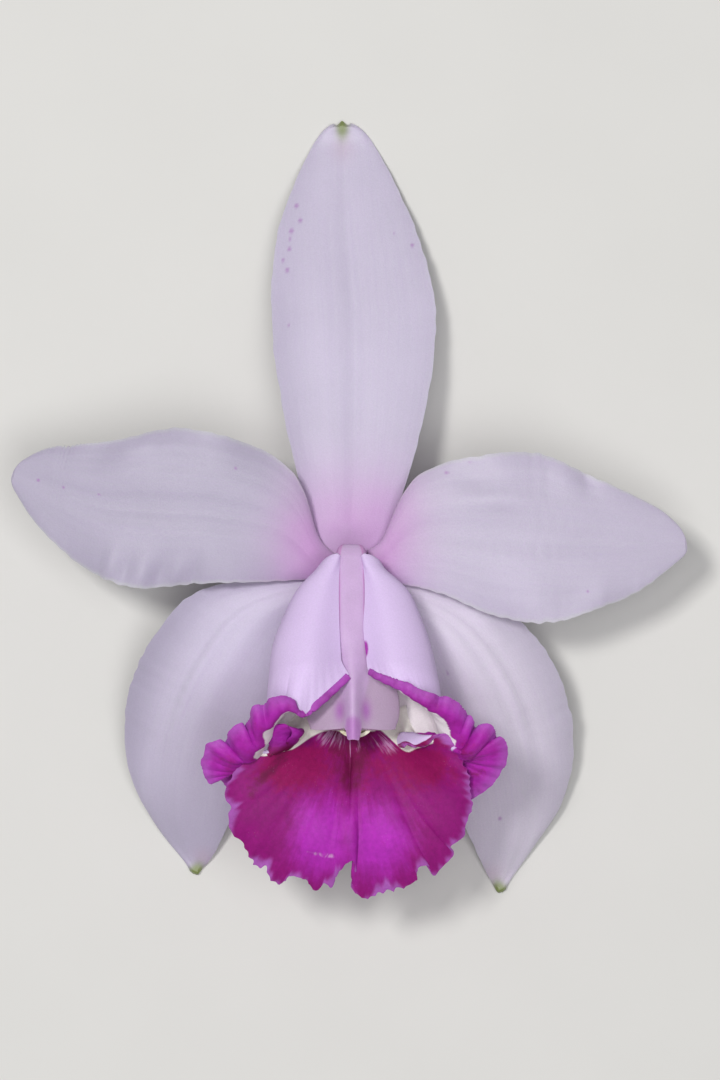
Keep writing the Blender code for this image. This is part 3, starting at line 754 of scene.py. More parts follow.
@dataclass(frozen=True)
class Tepal:
    """A sepal, or a petal: a blade between two ends that bows, rolls and waves. Its sizes are in mm."""

    name: str
    base: tuple
    tip: tuple
    # The half widths to the left and right, looking from base to tip, at equal quarter-wave steps.
    left: tuple
    right: tuple
    slot: Slot = Slot.SEPAL
    # Its own body colour, where it differs from the finish's: darker for painted shade, lighter for
    # painted light.
    body: str = ""
    seed: int = 1
    # The fall from base to tip, the bow, the rolled edges, the keel, and the waves of the edges.
    drop: float = 1.6
    arch: float = 1.0
    edge_roll: float = 3.2
    keel: float = 0.9
    ripple: float = 0.3
    ripples: float = 2.0
    # The soft ribs that run from base to tip.
    rib: float = 0.012
    folds: tuple = ()
    waists: tuple = ()
    # How far the margins waver, how far the right one is worn into small teeth near the tip, how
    # much wider the blade is close to a blunt tip, and how far the tip stands out as a small point.
    edge_wave: float = 0.10
    rough_edge: float = 0.0
    blunt: float = 0.0
    point: float = 0.0
    point_half: float = 0.45
    # How far the base's corners reach back round the collar.
    clasp: float = 0.0
    # How strong the flush at the base and the green at the tip are.
    flush: float = 0.3
    green: float = 1.0
    # How much painted shade greys the blade on its outer side, where it rolls back, 1 for the left
    # and -1 for the right, and towards its tip.
    painted_shade: float = 0.0
    outer: float = -1.0
    painted_tip_shade: float = 0.0
    specks: tuple = ()
    thickness: float = 0.86
    rim_share: float = 0.4
    # How much thicker each half of the tip is, where it carries the bloom.
    tip_swell: float = 0.1
    # How softly the blade flattens out where it comes down on the surface.
    settle: float = 0.35
    rows: int = 200
    columns: int = 124

    def grid(self) -> tuple[Array, Array]:
        """The shares along the blade, crowded towards the tip, and across it from -1 to 1."""
        return shares(self.rows), np.linspace(-1, 1, self.columns + 1)[None, :]

    def outline(self, quarter: Array) -> tuple[Array, Array]:
        """The half widths: smooth curves through their values, with a waver, teeth and waists.

        Args:
            quarter: the equal quarter-wave steps from base to tip.

        Returns:
            tuple[Array, Array]: how far the left and the right margin lie from the chord, in metres.
        """
        s = np.sin(0.5 * math.pi * quarter)
        waver = self.edge_wave * MM * np.sin(math.pi * s)
        left = smooth(self.left, quarter) * MM + waver * wobble(s, self.seed, 3, 26)
        right = smooth(self.right, quarter) * MM + waver * wobble(s, self.seed + 1, 3, 26)
        worn = bell(s, 0.84, 0.10) * step_between(0.98, 0.92, s) * np.abs(wobble(s, self.seed + 3, 30, 60))
        right = right + self.rough_edge * MM * worn
        for waist in self.waists:
            drawn = waist.inward * MM * bell(s, waist.along, waist.long)
            left, right = (left - drawn, right) if waist.side > 0 else (left, right + drawn)
        full = self.blunt * MM * bell(s, 1.0, 0.03) * np.sqrt(np.clip(1 - s, 0, 1) / 0.02).clip(0, 1)
        return left + full, right - full

    def depth(self, s: Array, t: Array) -> Array:
        """How high the blade lies over its base.

        It falls from base to tip as s^drop, bows by arch sin(pi s), rolls back at its edges as
        |t|^2.5, has a keel along its middle, ripples that grow as |t|^3, and its own folds.

        Args:
            s: the share along the blade.
            t: the place across it, from -1 to 1.

        Returns:
            Array: heights in metres.
        """
        swell = np.sin(math.pi * s)
        base, tip = self.base[2], self.tip[2]
        depth = (base + (tip - base) * s ** self.drop + self.arch * swell
                 - self.edge_roll * np.sin(math.pi * s ** 0.8) * np.abs(t) ** 2.5
                 + self.keel * bell(t, 0.0, 0.22) * swell
                 + self.ripple * np.abs(t) ** 3 * swell * np.sin(2 * math.pi * self.ripples * s + 1.7 * t))
        for fold in self.folds:
            depth = depth + fold.height * bell(s, fold.along, fold.long) * bell(t, fold.across, fold.wide)
        ribs = wobble(t, self.seed + 2, 2.0, 7.0) * swell
        return (depth + self.rib * ribs) * MM

    def vein(self, s: Array, t: Array, width: Array) -> Array:
        """A number for the vein at each point: veins spread with the blade, then run out at its edge."""
        widest = np.maximum.accumulate(width, axis=0)
        return t * np.clip(width / widest, 0, 1) ** 0.7

    def sheet(self) -> tuple[Sheet, Array]:
        """Works out the blade.

        Each point lies on the chord from base to tip at its share, and across it between the two
        margins. Where the blade would sink, a soft maximum lays it down on the surface.

        Returns:
            tuple[Sheet, Array]: the blade measured from the heart, and which points rest on the surface.
        """
        quarter, t = self.grid()
        s = np.sin(0.5 * math.pi * quarter)
        base, tip = np.array(self.base) * MM, np.array(self.tip) * MM
        chord = tip[:2] - base[:2]
        along = chord / np.linalg.norm(chord)
        side = np.array((-along[1], along[0]))
        left, right = self.outline(quarter)
        across = right + (left - right) * (t + 1) / 2
        nose = self.point * MM * bell(across, 0.0, self.point_half * MM) * step_between(0.985, 1.0, s)
        nose = nose - self.clasp * MM * np.abs(t) ** 1.5 * bell(s, 0.0, 0.02)
        flat = base[:2] + s[..., None] * chord + nose[..., None] * along + across[..., None] * side
        depth = self.depth(s, t)
        shape = depth.shape
        rim = np.maximum(np.abs(t) ** 8, step_between(0.992, 1.0, s))
        half = MM * (0.5 * self.thickness * (1 - (1 - self.rim_share) * rim)
                     + self.tip_swell * bell(s, 1.0, 0.02))
        on_surface = -HEART[2] + half
        settle = self.settle * MM
        over = (depth - on_surface) / settle
        resting = over < -4
        settled = on_surface + settle * np.log1p(np.exp(np.clip(over, -30, 30)))
        depth = np.where(resting, on_surface, np.where(over > 20, depth, settled))
        points = np.concatenate((flat, depth[..., None]), axis=2)
        index = np.arange(depth.size).reshape(shape)
        index[-1, :] = index[-1, 0]
        used = index[-1, 0] + 1
        paint = {
            "along": s,
            "vein": self.vein(s, t, left - right),
            "edge": step_between(0.93, 1.0, np.abs(t)),
            "flush": self.flush * bell(s, 0.0, 0.2) * (1 - 0.25 * t ** 2),
            "tip": self.green * bell(across, 0.0, 1.2 * MM) * bell(s, 1.0, 0.04),
            "rose": self.green * bell(across, 0.0, 1.8 * MM) * bell(s, 0.94, 0.03),
            # Painted shade on the outer side, where the blade rolls back, and towards the tip.
            "painted_shade": np.maximum(
                self.painted_shade * step_between(0.35, 0.95, self.outer * t) * np.sin(math.pi * s) ** 0.5,
                self.painted_tip_shade * step_between(0.6, 0.95, s)),
            "speck": self.speckle(points),
        }
        painted = {name: np.broadcast_to(values, shape).ravel()[:used] for name, values in paint.items()}
        cells = turned_over(grid_cells(index))
        blade = Sheet(points.reshape(-1, 3)[:used], cells, half.ravel()[:used], painted)
        return blade, resting.ravel()[:used]

    def speckle(self, points: Array) -> Array:
        """Tiny round specks, each a sharp bell about its place in mm from the heart.

        Args:
            points: the blade's points, in metres from the heart.

        Returns:
            Array: how dark each point is, from 0 to 1.
        """
        mark = np.zeros(points.shape[:2])
        for x, y, size in self.specks:
            far = np.hypot(points[..., 0] / MM - x, points[..., 1] / MM - y)
            mark = np.maximum(mark, np.exp(-(far / size) ** 4))
        return mark

    def build(self) -> bpy.types.Object:
        """Makes the piece; where it rests, its two faces lie straight above each other, one at z = 0.

        Returns:
            bpy.types.Object: the piece.
        """
        blade, resting = self.sheet()
        body = blade.body()
        count = len(blade.points)
        lift = blade.half[resting, None] * UP
        body.points[:count][resting] = blade.points[resting] + lift
        body.points[count:][resting] = blade.points[resting] - lift
        body.points = body.points + HEART
        body.points[count:, 2][resting] = 0.0
        return finished(body, self.name, self.slot, self.body)


@dataclass(frozen=True)
class Petal(Tepal):
    """A petal: it arches and has a sunken keel, a strong flush at its base and no green tip."""

    slot: Slot = Slot.PETAL
    drop: float = 2.2
    keel: float = -0.6
    flush: float = 1.0
    green: float = 0.0
    tip_swell: float = 0.0


# The petals' own body colours are darker, painted shade, and the right lateral sepal's lighter, painted
# light, for the way each blade faced the light.
TEPALS = (
    Tepal("dorsal_sepal", (0.0, 0.3, -1.7), (-1.3, 68.4, -20.8),
          (4.9, 8.3, 10.7, 11.7, 11.0, 8.6, 5.7, 3.2, 0.0),
          (-5.1, -9.9, -13.1, -14.2, -12.2, -9.0, -6.0, -3.4, 0.0), seed=11,
          drop=1.35, arch=0.0, edge_roll=1.8, keel=-0.5, ripple=0.25, ripples=2.5, flush=0.9, green=0.9,
          painted_shade=0.35, outer=1.0, tip_swell=0.2, settle=0.28, point=0.55, clasp=1.8,
          folds=(Fold(0.55, 0.0, 0.35, 0.10, -0.35), Fold(0.30, 0.75, 0.08, 0.25, 0.25),
                 Fold(0.0, 0.0, 0.035, 0.9, 1.3)),
          specks=((-8.5, 55.0, 0.38), (-7.9, 52.6, 0.36), (-9.3, 50.9, 0.40), (-9.5, 49.6, 0.26),
                  (-9.6, 48.0, 0.34), (-10.6, 46.2, 0.30), (-9.9, 44.6, 0.36), (-9.6, 35.6, 0.20),
                  (6.9, 50.6, 0.18), (9.8, 48.6, 0.34))),
    Petal("petal_left", (-2.9, -1.9, -0.1), (-52.9, 11.9, -3.4),
          (2.2, 5.6, 8.6, 11.7, 10.8, 8.0, 4.8, 1.7, 0.0),
          (-2.6, -12.5, -14.7, -14.0, -10.1, -7.6, -5.5, -2.4, 0.0), body="B0A9BD", seed=21,
          arch=2.4, edge_roll=1.2, ripple=0.7, ripples=3.4, rough_edge=0.35, blunt=0.6,
          waists=(Waist(-1, 0.06, 0.06, 2.3),),
          folds=(Fold(0.64, 0.85, 0.022, 0.25, 0.45), Fold(0.59, 0.85, 0.02, 0.22, -0.4),
                 Fold(0.54, 0.84, 0.022, 0.25, 0.4), Fold(0.49, 0.84, 0.02, 0.22, -0.35),
                 Fold(0.44, 0.85, 0.022, 0.22, 0.35), Fold(0.39, 0.85, 0.02, 0.2, -0.3),
                 Fold(0.63, -0.9, 0.08, 0.3, 0.8), Fold(0.75, -0.85, 0.06, 0.3, -0.5)),
          specks=((-48.6, 11.2, 0.28), (-44.6, 10.1, 0.22), (-39.0, 9.0, 0.20), (-17.9, 13.0, 0.22))),
    Petal("petal_right", (2.9, -1.9, -0.1), (52.7, 0.6, -3.0),
          (2.7, 13.6, 16.1, 15.7, 12.0, 8.8, 6.1, 3.0, 0.0),
          (-2.3, -4.6, -8.9, -10.5, -8.7, -6.5, -3.6, -1.3, 0.0), body="C0B8CC", seed=31,
          arch=2.2, edge_roll=1.0, ripple=0.6, ripples=2.6, blunt=0.4,
          waists=(Waist(1, 0.045, 0.04, 1.8), Waist(1, 0.15, 0.055, -0.9)),
          folds=(Fold(0.69, 0.95, 0.03, 0.2, -0.6), Fold(0.62, 0.9, 0.05, 0.3, 0.6),
                 Fold(0.42, 0.45, 0.12, 0.14, 0.5), Fold(0.34, 0.75, 0.06, 0.2, -0.4),
                 Fold(0.72, -0.85, 0.05, 0.3, 0.4), Fold(0.6, -0.85, 0.06, 0.3, -0.4)),
          specks=((15.1, 12.3, 0.30), (18.8, 14.0, 0.20), (37.0, -6.1, 0.24))),
    Tepal("lateral_sepal_left", (-1.5, -5.1, -1.7), (-24.8, -51.5, -20.8),
          (1.2, 0.9, 1.1, 1.2, 1.2, 1.2, 1.2, 0.5, 0.0),
          (-3.1, -18.6, -22.4, -22.5, -19.9, -15.3, -8.6, -2.1, 0.0), seed=41,
          painted_shade=0.8, painted_tip_shade=0.6, folds=(Fold(0.45, -0.25, 0.22, 0.07, 0.55),)),
    Tepal("lateral_sepal_right", (1.5, -5.1, -1.7), (24.1, -54.4, -20.8),
          (3.1, 17.2, 22.0, 22.2, 19.7, 14.7, 7.2, 1.8, 0.0),
          (-1.2, -0.7, -0.8, -0.9, -0.9, -0.8, -0.8, -0.5, 0.0), body="D3CBDB", seed=51,
          painted_shade=0.4, outer=1.0, folds=(Fold(0.45, 0.3, 0.22, 0.07, 0.45), Fold(0.25, 0.6, 0.06, 0.12, 0.4)),
          specks=((23.8, -42.2, 0.32), (15.3, -18.8, 0.24))),
)


# The lip.

# The free margin of each lobe, in millimetres from the heart of the flower.
LEFT_MARGIN = (
    (-0.6, -18.6, 13.0), (-2.1, -20.0, 14.2), (-3.7, -21.4, 15.2), (-5.5, -22.9, 16.0),
    (-7.3, -24.6, 16.4), (-7.9, -23.7, 17.4), (-8.3, -22.6, 18.2), (-9.1, -22.0, 18.6),
    (-10.2, -21.7, 18.8), (-11.2, -21.8, 18.6), (-12.1, -22.2, 18.0), (-13.1, -23.2, 16.8),
    (-14.0, -23.1, 17.4), (-14.7, -23.5, 17.2), (-15.1, -24.4, 16.6), (-15.1, -25.2, 16.0),
    (-16.0, -26.4, 14.4), (-16.4, -26.0, 15.4), (-17.1, -26.2, 15.4), (-17.9, -26.8, 15.0),
    (-18.6, -27.6, 14.4), (-19.0, -29.0, 12.2), (-19.9, -28.7, 13.2), (-21.0, -29.0, 13.2),
    (-21.9, -29.4, 12.6), (-22.3, -31.1, 11.6), (-22.8, -32.0, 11.0), (-22.4, -34.0, 10.2),
    (-21.6, -35.6, 9.4), (-20.3, -34.8, 8.6), (-19.2, -36.0, 7.4), (-18.6, -37.9, 6.4))
RIGHT_MARGIN = (
    (3.2, -17.8, 13.4), (4.6, -18.5, 15.0), (6.3, -19.0, 16.0), (7.8, -19.5, 16.8), (9.2, -19.9, 17.4),
    (10.4, -20.7, 17.6), (11.7, -21.2, 17.6), (13.0, -21.6, 17.0), (13.6, -22.1, 16.0),
    (14.5, -21.9, 16.8), (15.6, -22.3, 16.6), (16.8, -23.1, 16.0), (17.6, -24.1, 15.2),
    (17.9, -24.9, 14.2), (18.5, -25.0, 14.8), (18.9, -25.8, 14.6), (19.2, -27.0, 13.2),
    (19.7, -26.4, 15.2), (20.7, -26.1, 15.6), (21.7, -26.4, 15.4), (22.2, -27.3, 14.6),
    (22.3, -28.3, 12.6), (23.1, -28.2, 13.8), (23.8, -28.9, 13.6), (24.1, -30.4, 12.8),
    (23.9, -32.3, 11.8), (23.2, -33.7, 10.8), (22.0, -35.5, 9.8), (20.4, -36.9, 8.8), (18.4, -38.3, 7.4))
MIDLOBE_MARGIN = (
    (-10.5, -31.3, 8.0), (-10.0, -29.5, 11.0), (-8.9, -28.0, 13.6), (-9.1, -26.9, 14.8),
    (-10.2, -26.4, 15.0), (-11.5, -26.7, 14.6), (-12.7, -27.7, 13.6), (-12.4, -29.5, 11.6),
    (-12.7, -31.5, 10.2), (-14.6, -30.9, 10.6), (-16.6, -31.2, 10.8), (-17.3, -32.8, 10.6),
    (-18.0, -34.4, 10.2), (-18.9, -36.0, 9.8), (-18.9, -37.8, 9.4), (-18.2, -39.2, 9.6),
    (-18.6, -40.6, 9.0), (-18.2, -43.0, 8.6), (-16.7, -44.5, 8.4), (-15.6, -46.8, 7.6),
    (-14.1, -48.8, 6.6), (-12.9, -48.3, 7.2), (-12.5, -50.1, 6.4), (-10.9, -51.4, 5.8),
    (-9.1, -49.9, 6.8), (-6.9, -50.3, 6.6), (-5.9, -51.7, 5.8), (-5.0, -52.2, 5.6), (-3.8, -50.9, 6.4),
    (-2.9, -51.8, 6.0), (-2.0, -49.7, 7.0), (0.3, -47.4, 8.4), (0.8, -50.4, 6.6), (0.2, -51.8, 5.8),
    (2.3, -53.5, 5.0), (4.6, -52.8, 5.4), (7.1, -52.2, 5.8), (10.1, -50.8, 6.2), (10.5, -48.6, 7.4),
    (12.0, -48.3, 7.2), (12.9, -49.9, 6.0), (14.5, -48.0, 6.6), (15.9, -46.6, 6.8), (15.4, -45.3, 7.8),
    (17.4, -43.7, 8.0), (17.7, -41.9, 8.6), (18.8, -39.2, 9.4), (18.6, -37.4, 10.2), (18.4, -35.8, 11.0),
    (18.2, -33.9, 11.8), (16.7, -30.8, 12.8), (15.7, -28.9, 13.6), (14.9, -28.0, 14.0),
    (13.5, -28.0, 14.0), (12.2, -29.2, 12.6), (10.7, -29.9, 11.6), (9.1, -29.5, 11.4),
    (8.2, -30.1, 10.0))


class Part(Enum):
    """The parts of the lip."""

    LEFT = "left side lobe"
    FRONT = "front lobe"
    RIGHT = "right side lobe"


@dataclass(frozen=True)
class Spot:
    """A soft spot on the lip, in mm from the heart: its middle, its widths and its strength."""

    x: float
    y: float
    wide: float
    tall: float
    strength: float = 1.0

    def over(self, x: Array, y: Array) -> Array:
        """Strength times exp(-((x - middle) / wide)^2 - ((y - middle) / tall)^2)."""
        return self.strength * np.exp(-((x - self.x) / self.wide) ** 2 - ((y - self.y) / self.tall) ** 2)


def spots_over(spots: tuple[Spot, ...], x: Array, y: Array) -> Array:
    """The sum of several spots at each place."""
    return sum(spot.over(x, y) for spot in spots)


@dataclass(frozen=True)
class Lobe:
    """A lobe of the lip: its stretch of the tube's mouth, its margin, and how fine its grid is."""

    part: Part
    start: float
    end: float
    margin: tuple
    columns: int
    # How wide the lobe's turned-out brim is, in millimetres, from the slit to the front lobe, where
    # along it the stain starts to spread inwards, and how much painted shade darkens its throat.
    brim: tuple = ()
    spread_from: float = 1.0
    crimson_and_shade: float = 0.0
    # How wide a bell calms the margin, how late along a line the ruffles start, and how long the
    # margin's teeth are, as a share of the longest.
    calm: float = 0.035
    ruffle: float = 2.5
    teeth: float = 0.4

    def turns(self) -> Array:
        """The places around the tube's mouth that the lobe's lines leave from."""
        return np.linspace(self.start, self.end, self.columns + 1)


@dataclass(frozen=True)
class Lip:
    """The lip: a tube open along its top, two ruffled side lobes and the broad front lobe."""

    thickness: float = 0.8 * MM
    rim_share: float = 0.3
    tube_rows: int = 34
    isthmus: float = 0.2
    sinus: float = 0.004
    # Around half of the tube, from under the column to the slit: how far out, and how high.
    side: tuple = (0.0, 0.5, 0.86, 1.0, 0.95, 0.75, 0.48, 0.0)
    rise: tuple = (0.0, 0.04, 0.2, 0.48, 0.77, 0.96, 1.0, 0.0)
    slit: tuple = (0.0, 0.0, 0.0, 0.0, 0.0, 0.0, 0.0, 1.0)
    # Along the tube from its foot to its mouth, in millimetres.
    width_left: tuple = (3.8, 5.3, 8.0, 9.9, 11.5, 12.1)
    width_right: tuple = (4.3, 5.6, 8.8, 10.6, 12.1, 13.2)
    slit_left: tuple = (1.7, 1.8, 1.9, 1.9, 1.8, 1.6)
    slit_right: tuple = (2.1, 2.3, 2.5, 2.5, 2.3, 2.8)
    floor: tuple = (2.1, 1.7)
    crown: tuple = (6.4, 15.2)
    slit_height: tuple = (5.7, 11.8)
    fan_centre: tuple = (0.0, -28.0)
    # Where the front lobe's stain starts, for every 2 mm from left to right.
    stain_start: tuple = (-31.2, -30.6, -30.2, -29.2, -28.2, -27.8, -28.1, -28.1, -28.0, -27.9, -29.6,
                          -30.8, -29.9, -29.0, -28.0)
    lobe_rows: int = 50
    tooth: float = 0.34 * MM
    # How far a side lobe's brim puffs up under each crest of its margin.
    puff: float = 0.9
    # The front lobe's two swellings, the places that are redder, streaked white or brighter with painted
    # highlight, the valley of painted shade and the scar, each from one end to the other, and the smear
    # beside the slit.
    pads: tuple = (Spot(-4.6, -43.0, 3.6, 5.5, 1.1), Spot(4.4, -42.0, 3.4, 5.5))
    reds: tuple = (Spot(-9.5, -33.0, 4.6, 3.4), Spot(12.5, -32.5, 3.6, 3.8))
    veins: tuple = (Spot(-3.6, -28.8, 1.9, 1.7), Spot(5.8, -29.4, 2.4, 2.0))
    painted_highlights: tuple = (Spot(-5.0, -44.0, 4.6, 6.0, 0.95), Spot(4.5, -44.5, 4.8, 5.8))
    valley: tuple = ((-9.5, -29.5), (-15.0, -37.0))
    scar: tuple = ((-6.4, -45.9), (-1.9, -46.7))
    smear: Spot = Spot(2.5, -15.0, 0.7, 1.6)

    def tube(self, step: Array, around: Array) -> Array:
        """The rolled tube: sections that widen along the column and lean back at the slit.

        Args:
            step: from 0 at the foot to 1 at the mouth; the shares are its power of 1.5.
            around: from -1 at the left edge of the slit, through 0 below the column, to 1 at the right.

        Returns:
            Array: points in metres from the heart.
        """
        step, around = np.broadcast_arrays(step, around)
        share = step ** 1.5
        turn = np.abs(around)
        right = around > 0
        width = np.where(right, smooth(self.width_right, step), smooth(self.width_left, step))
        slit = np.where(right, smooth(self.slit_right, step), smooth(self.slit_left, step))
        floor, crown, edge = (low + (high - low) * share
                              for low, high in (self.floor, self.crown, self.slit_height))
        out = width * smooth(self.side, turn) + slit * smooth(self.slit, turn)
        rise = floor + (crown - floor) * smooth(self.rise, turn) + (edge - floor) * smooth(self.slit, turn)
        down = -5.6 - 21.4 * share + (5.3 + 5.4 * share) * np.sin(0.5 * math.pi * turn)
        return np.stack((np.sign(around) * out, down, rise), axis=-1) * MM

    def lobes(self) -> tuple[Lobe, Lobe, Lobe]:
        """The three lobes, from the left edge of the slit round to the right edge."""
        inner = self.isthmus + self.sinus
        return (Lobe(Part.LEFT, -1.0, -inner, LEFT_MARGIN, 160,
                     (0.7, 0.8, 1.2, 3.4, 4.2, 5.0, 5.6, 6.0, 6.0), spread_from=0.7, crimson_and_shade=0.2),
                Lobe(Part.FRONT, -self.isthmus, self.isthmus, MIDLOBE_MARGIN, 384,
                     calm=0.02, ruffle=3.5, teeth=1.0),
                Lobe(Part.RIGHT, inner, 1.0, RIGHT_MARGIN[::-1], 160,
                     (0.6, 1.1, 2.0, 3.2, 4.6, 6.0, 7.0, 7.5, 8.0), spread_from=0.45, crimson_and_shade=0.45))

    def off_slit(self, lobe: Lobe) -> Array:
        """How far each line of a side lobe is from the slit, from 0 to 1 at the front lobe."""
        return (1 - np.abs(lobe.turns())) / (1 - self.isthmus - self.sinus)

    @staticmethod
    def across_run(margin: Array) -> Array:
        """The level direction out of a lobe, square to the fourth-power curve nearest its margin.

        Args:
            margin: the lobe's calmed margin.

        Returns:
            Array: a level direction for each of its points.
        """
        share = np.linspace(0, 1, len(margin))
        run = np.stack([np.polyval(np.polyder(np.polyfit(share, margin[:, axis], 4)), share)
                        for axis in range(2)], axis=1)
        run /= np.linalg.norm(run, axis=1, keepdims=True)
        return np.stack((run[:, 1], -run[:, 0], np.zeros(len(run))), axis=1)

    def lines(self, lobe: Lobe) -> Array:
        """The lobe's points.

        Each line runs from the tube's mouth to the calmed margin as one cubic curve, and what the
        real margin has over the calmed one is added as a power of the way along.

        Args:
            lobe: the lobe.

        Returns:
            Array: rows by columns by three, in metres from the heart.
        """
        turn = lobe.turns()
        ring = self.tube(np.array(1.0), turn)
        heading = unit(ring - self.tube(np.array(0.98), turn))
        margin = even_margin(lobe.margin, lobe.columns)
        calm = calmed(margin, lobe.calm)
        q = shares(self.lobe_rows)[..., None]
        if lobe.part is Part.FRONT:
            lines = self.front_lines(ring, heading, calm, q)
        else:
            lines = self.side_lines(lobe, ring, heading, calm, margin, q)
        over = q ** np.array((lobe.ruffle, lobe.ruffle, 2 * lobe.ruffle)) * (margin - calm)
        u = np.linspace(0, 1, lobe.columns + 1)
        crisp = 0.6 - 1.6 * np.abs(wobble(u, 17, 22, 60)) ** 0.7 * (0.55 + 0.45 * wobble(u, 19, 2, 5))
        return lines + over + lobe.teeth * self.tooth * crisp[:, None] * q ** 18 * self.across_run(calm)

    def front_lines(self, ring: Array, heading: Array, calm: Array, q: Array) -> Array:
        """The front lobe's lines: they leave the mouth upwards and arrive falling, less so at its sides.

        Args:
            ring: where each line leaves the tube's mouth.
            heading: the way the tube heads there.
            calm: the calmed margin.
            q: the shares of the way from the mouth to the margin.

        Returns:
            Array: the lines' points.
        """
        away = np.linalg.norm(calm - ring, axis=1, keepdims=True)
        side = np.abs(np.linspace(-1, 1, len(ring)))[:, None] ** 5
        outward = calm - np.array((*self.fan_centre, 0.0)) * MM
        outward /= np.linalg.norm(outward[:, :2], axis=1, keepdims=True)
        outward[:, 2:] = -0.5 + 0.9 * side
        leave = (heading + (0.7 + 0.2 * side) * UP) * 1.05 * away
        return span(ring, leave, calm, outward * (0.9 - 0.24 * side) * away, q)

    def side_lines(self, lobe: Lobe, ring: Array, heading: Array, calm: Array, margin: Array,
                   q: Array) -> Array:
        """A side lobe's lines: a wall that goes on from the tube, then a brim that turns out of it.

        Args:
            lobe: the side lobe.
            ring: where each line leaves the tube's mouth.
            heading: the way the tube heads there.
            calm: the calmed margin.
            margin: the margin with its ruffles.
            q: the shares of the way, the first half for the wall and the second for the brim.

        Returns:
            Array: the lines' points.
        """
        outward = self.across_run(calm)
        brim = smooth(lobe.brim, self.off_slit(lobe))[:, None] * MM
        root = calm - brim * outward - 0.2 * brim * UP
        turning = unit(unit(root - ring) + unit(calm - root) + 0.35 * UP)
        wide = np.linalg.norm(root - ring, axis=1, keepdims=True)
        wall = span(ring, heading * wide, root, turning * np.minimum(wide, 3 * brim), np.clip(2 * q, 0, 1))
        out = np.clip(2 * q - 1, 0, 1)
        brims = span(root, turning * brim, calm, (outward - 0.3 * UP) * brim, out)
        crest = ((margin - calm) * outward).sum(axis=1, keepdims=True)
        return np.where(q < 0.5, wall, brims) + self.puff * crest * np.sin(math.pi * out) * UP

    def drawn_together(self, left: Array, front: Array, right: Array) -> None:
        """Closes the sinus between neighbouring lobes for the first part of its length.

        The two edge lines share their mean from the tube to a third of the way, and each lobe's
        next lines follow them less and less, under a bell curve.

        Args:
            left: the left side lobe's lines, changed in place.
            front: the front lobe's lines, changed in place.
            right: the right side lobe's lines, changed in place.
        """
        q = shares(self.lobe_rows)
        hold = step_between(0.0, 0.08, q) * (1 - step_between(0.25, 0.55, q))
        for one, edge, two, other in ((left, -1, front, 0), (front, -1, right, 0)):
            shared = 0.5 * (one[:, edge] + two[:, other])
            for lines, place in ((one, edge), (two, other)):
                off = np.abs(np.arange(lines.shape[1]) - (lines.shape[1] - 1 if place else 0))
                follow = bell(off, 0.0, 0.07 * lines.shape[1])[None, :, None]
                lines += follow * (hold * (shared - lines[:, place]))[:, None, :]

    @staticmethod
    def from_rim(points: Array) -> Array:
        """How far each point is from the margin along its line, in millimetres.

        Args:
            points: a lobe's points, as rows by columns by three.

        Returns:
            Array: the distances.
        """
        step = np.linalg.norm(np.diff(points, axis=0), axis=2) / MM
        left = np.cumsum(step[::-1], axis=0)[::-1]
        return np.concatenate((left, np.zeros((1, points.shape[1]))))

    def front_paint(self, points: Array, u: Array) -> dict[str, Array]:
        """What the front lobe is painted by, from places in mm from the heart.

        Args:
            points: its points.
            u: the share across, from -1 to 1.

        Returns:
            dict[str, Array]: the paint values.
        """
        x, y = points[..., 0] / MM, points[..., 1] / MM
        rim = self.from_rim(points)
        body = step_between(-0.7, 0.7, smooth(self.stain_start, (x + 13) / 28) - y)
        fold = step_between(-0.66, -0.72, u) * step_between(7.0, 5.0, rim)
        curl = 1.1 + 2.9 * step_between(12.4, 13.4, x)
        roll = step_between(0.80, 0.84, u) * step_between(0.4, -0.4, rim - curl)
        # Down the middle under the column's end: darker crimson with painted shade, narrowing away from
        # the throat.
        wedge = np.exp(-(x / (0.5 + 0.48 * np.clip(y + 39.0, 0, 12))) ** 4) * step_between(-40.5, -35.0, y)
        # Painted shade along the valley that runs down from the left hook.
        valley = bell(beside(x, y, *self.valley), 0.0, 1.1)
        ruddy = 0.8 * step_between(-40.0, -31.5, y) * step_between(17.0, 9.0, np.abs(x))
        reds = (spots_over(self.reds, x, y) + ruddy) * (1 - 0.55 * step_between(-31.4, -29.2, y))
        line = bell(x, 0.1, 0.12) * step_between(-36.5, -33.0, y) + 0.45 * (
            bell(np.abs(x), 1.3, 0.5) * step_between(-32.5, -30.5, y))
        scar = bell(beside(x, y, *self.scar), 0.0, 0.3)
        wide = 1.5 + 0.9 * wobble(u, 23, 3, 9) + 0.3 * wobble(u, 29, 30, 60)
        low = step_between(-28.8, -31.0, y)
        return {
            "stain": np.maximum(np.maximum(body, fold), roll),
            # Painted shade, with darker crimson down the middle: the wedge, the valley and the hook's
            # lower part.
            "crimson_and_shade": 0.75 * wedge + 0.7 * valley + 0.5 * fold * low,
            "red": reds * (1 - fold) + fold * low + 0.5 * roll,
            # Painted highlights on the two swellings, and the hook's brighter top.
            "bright_and_highlight": spots_over(self.painted_highlights, x, y) + 0.6 * fold * (1 - low),
            "hem": step_between(0.0, 1.0, (wide - rim) / 1.8) * (1 - 0.7 * fold),
            "streak": 1.2 * spots_over(self.veins, x, y) + 1.7 * line + 1.4 * scar,
            "throat": 1.0,
            "ray": np.arctan2(x, -(y + 24.0)) / 1.3,
        }

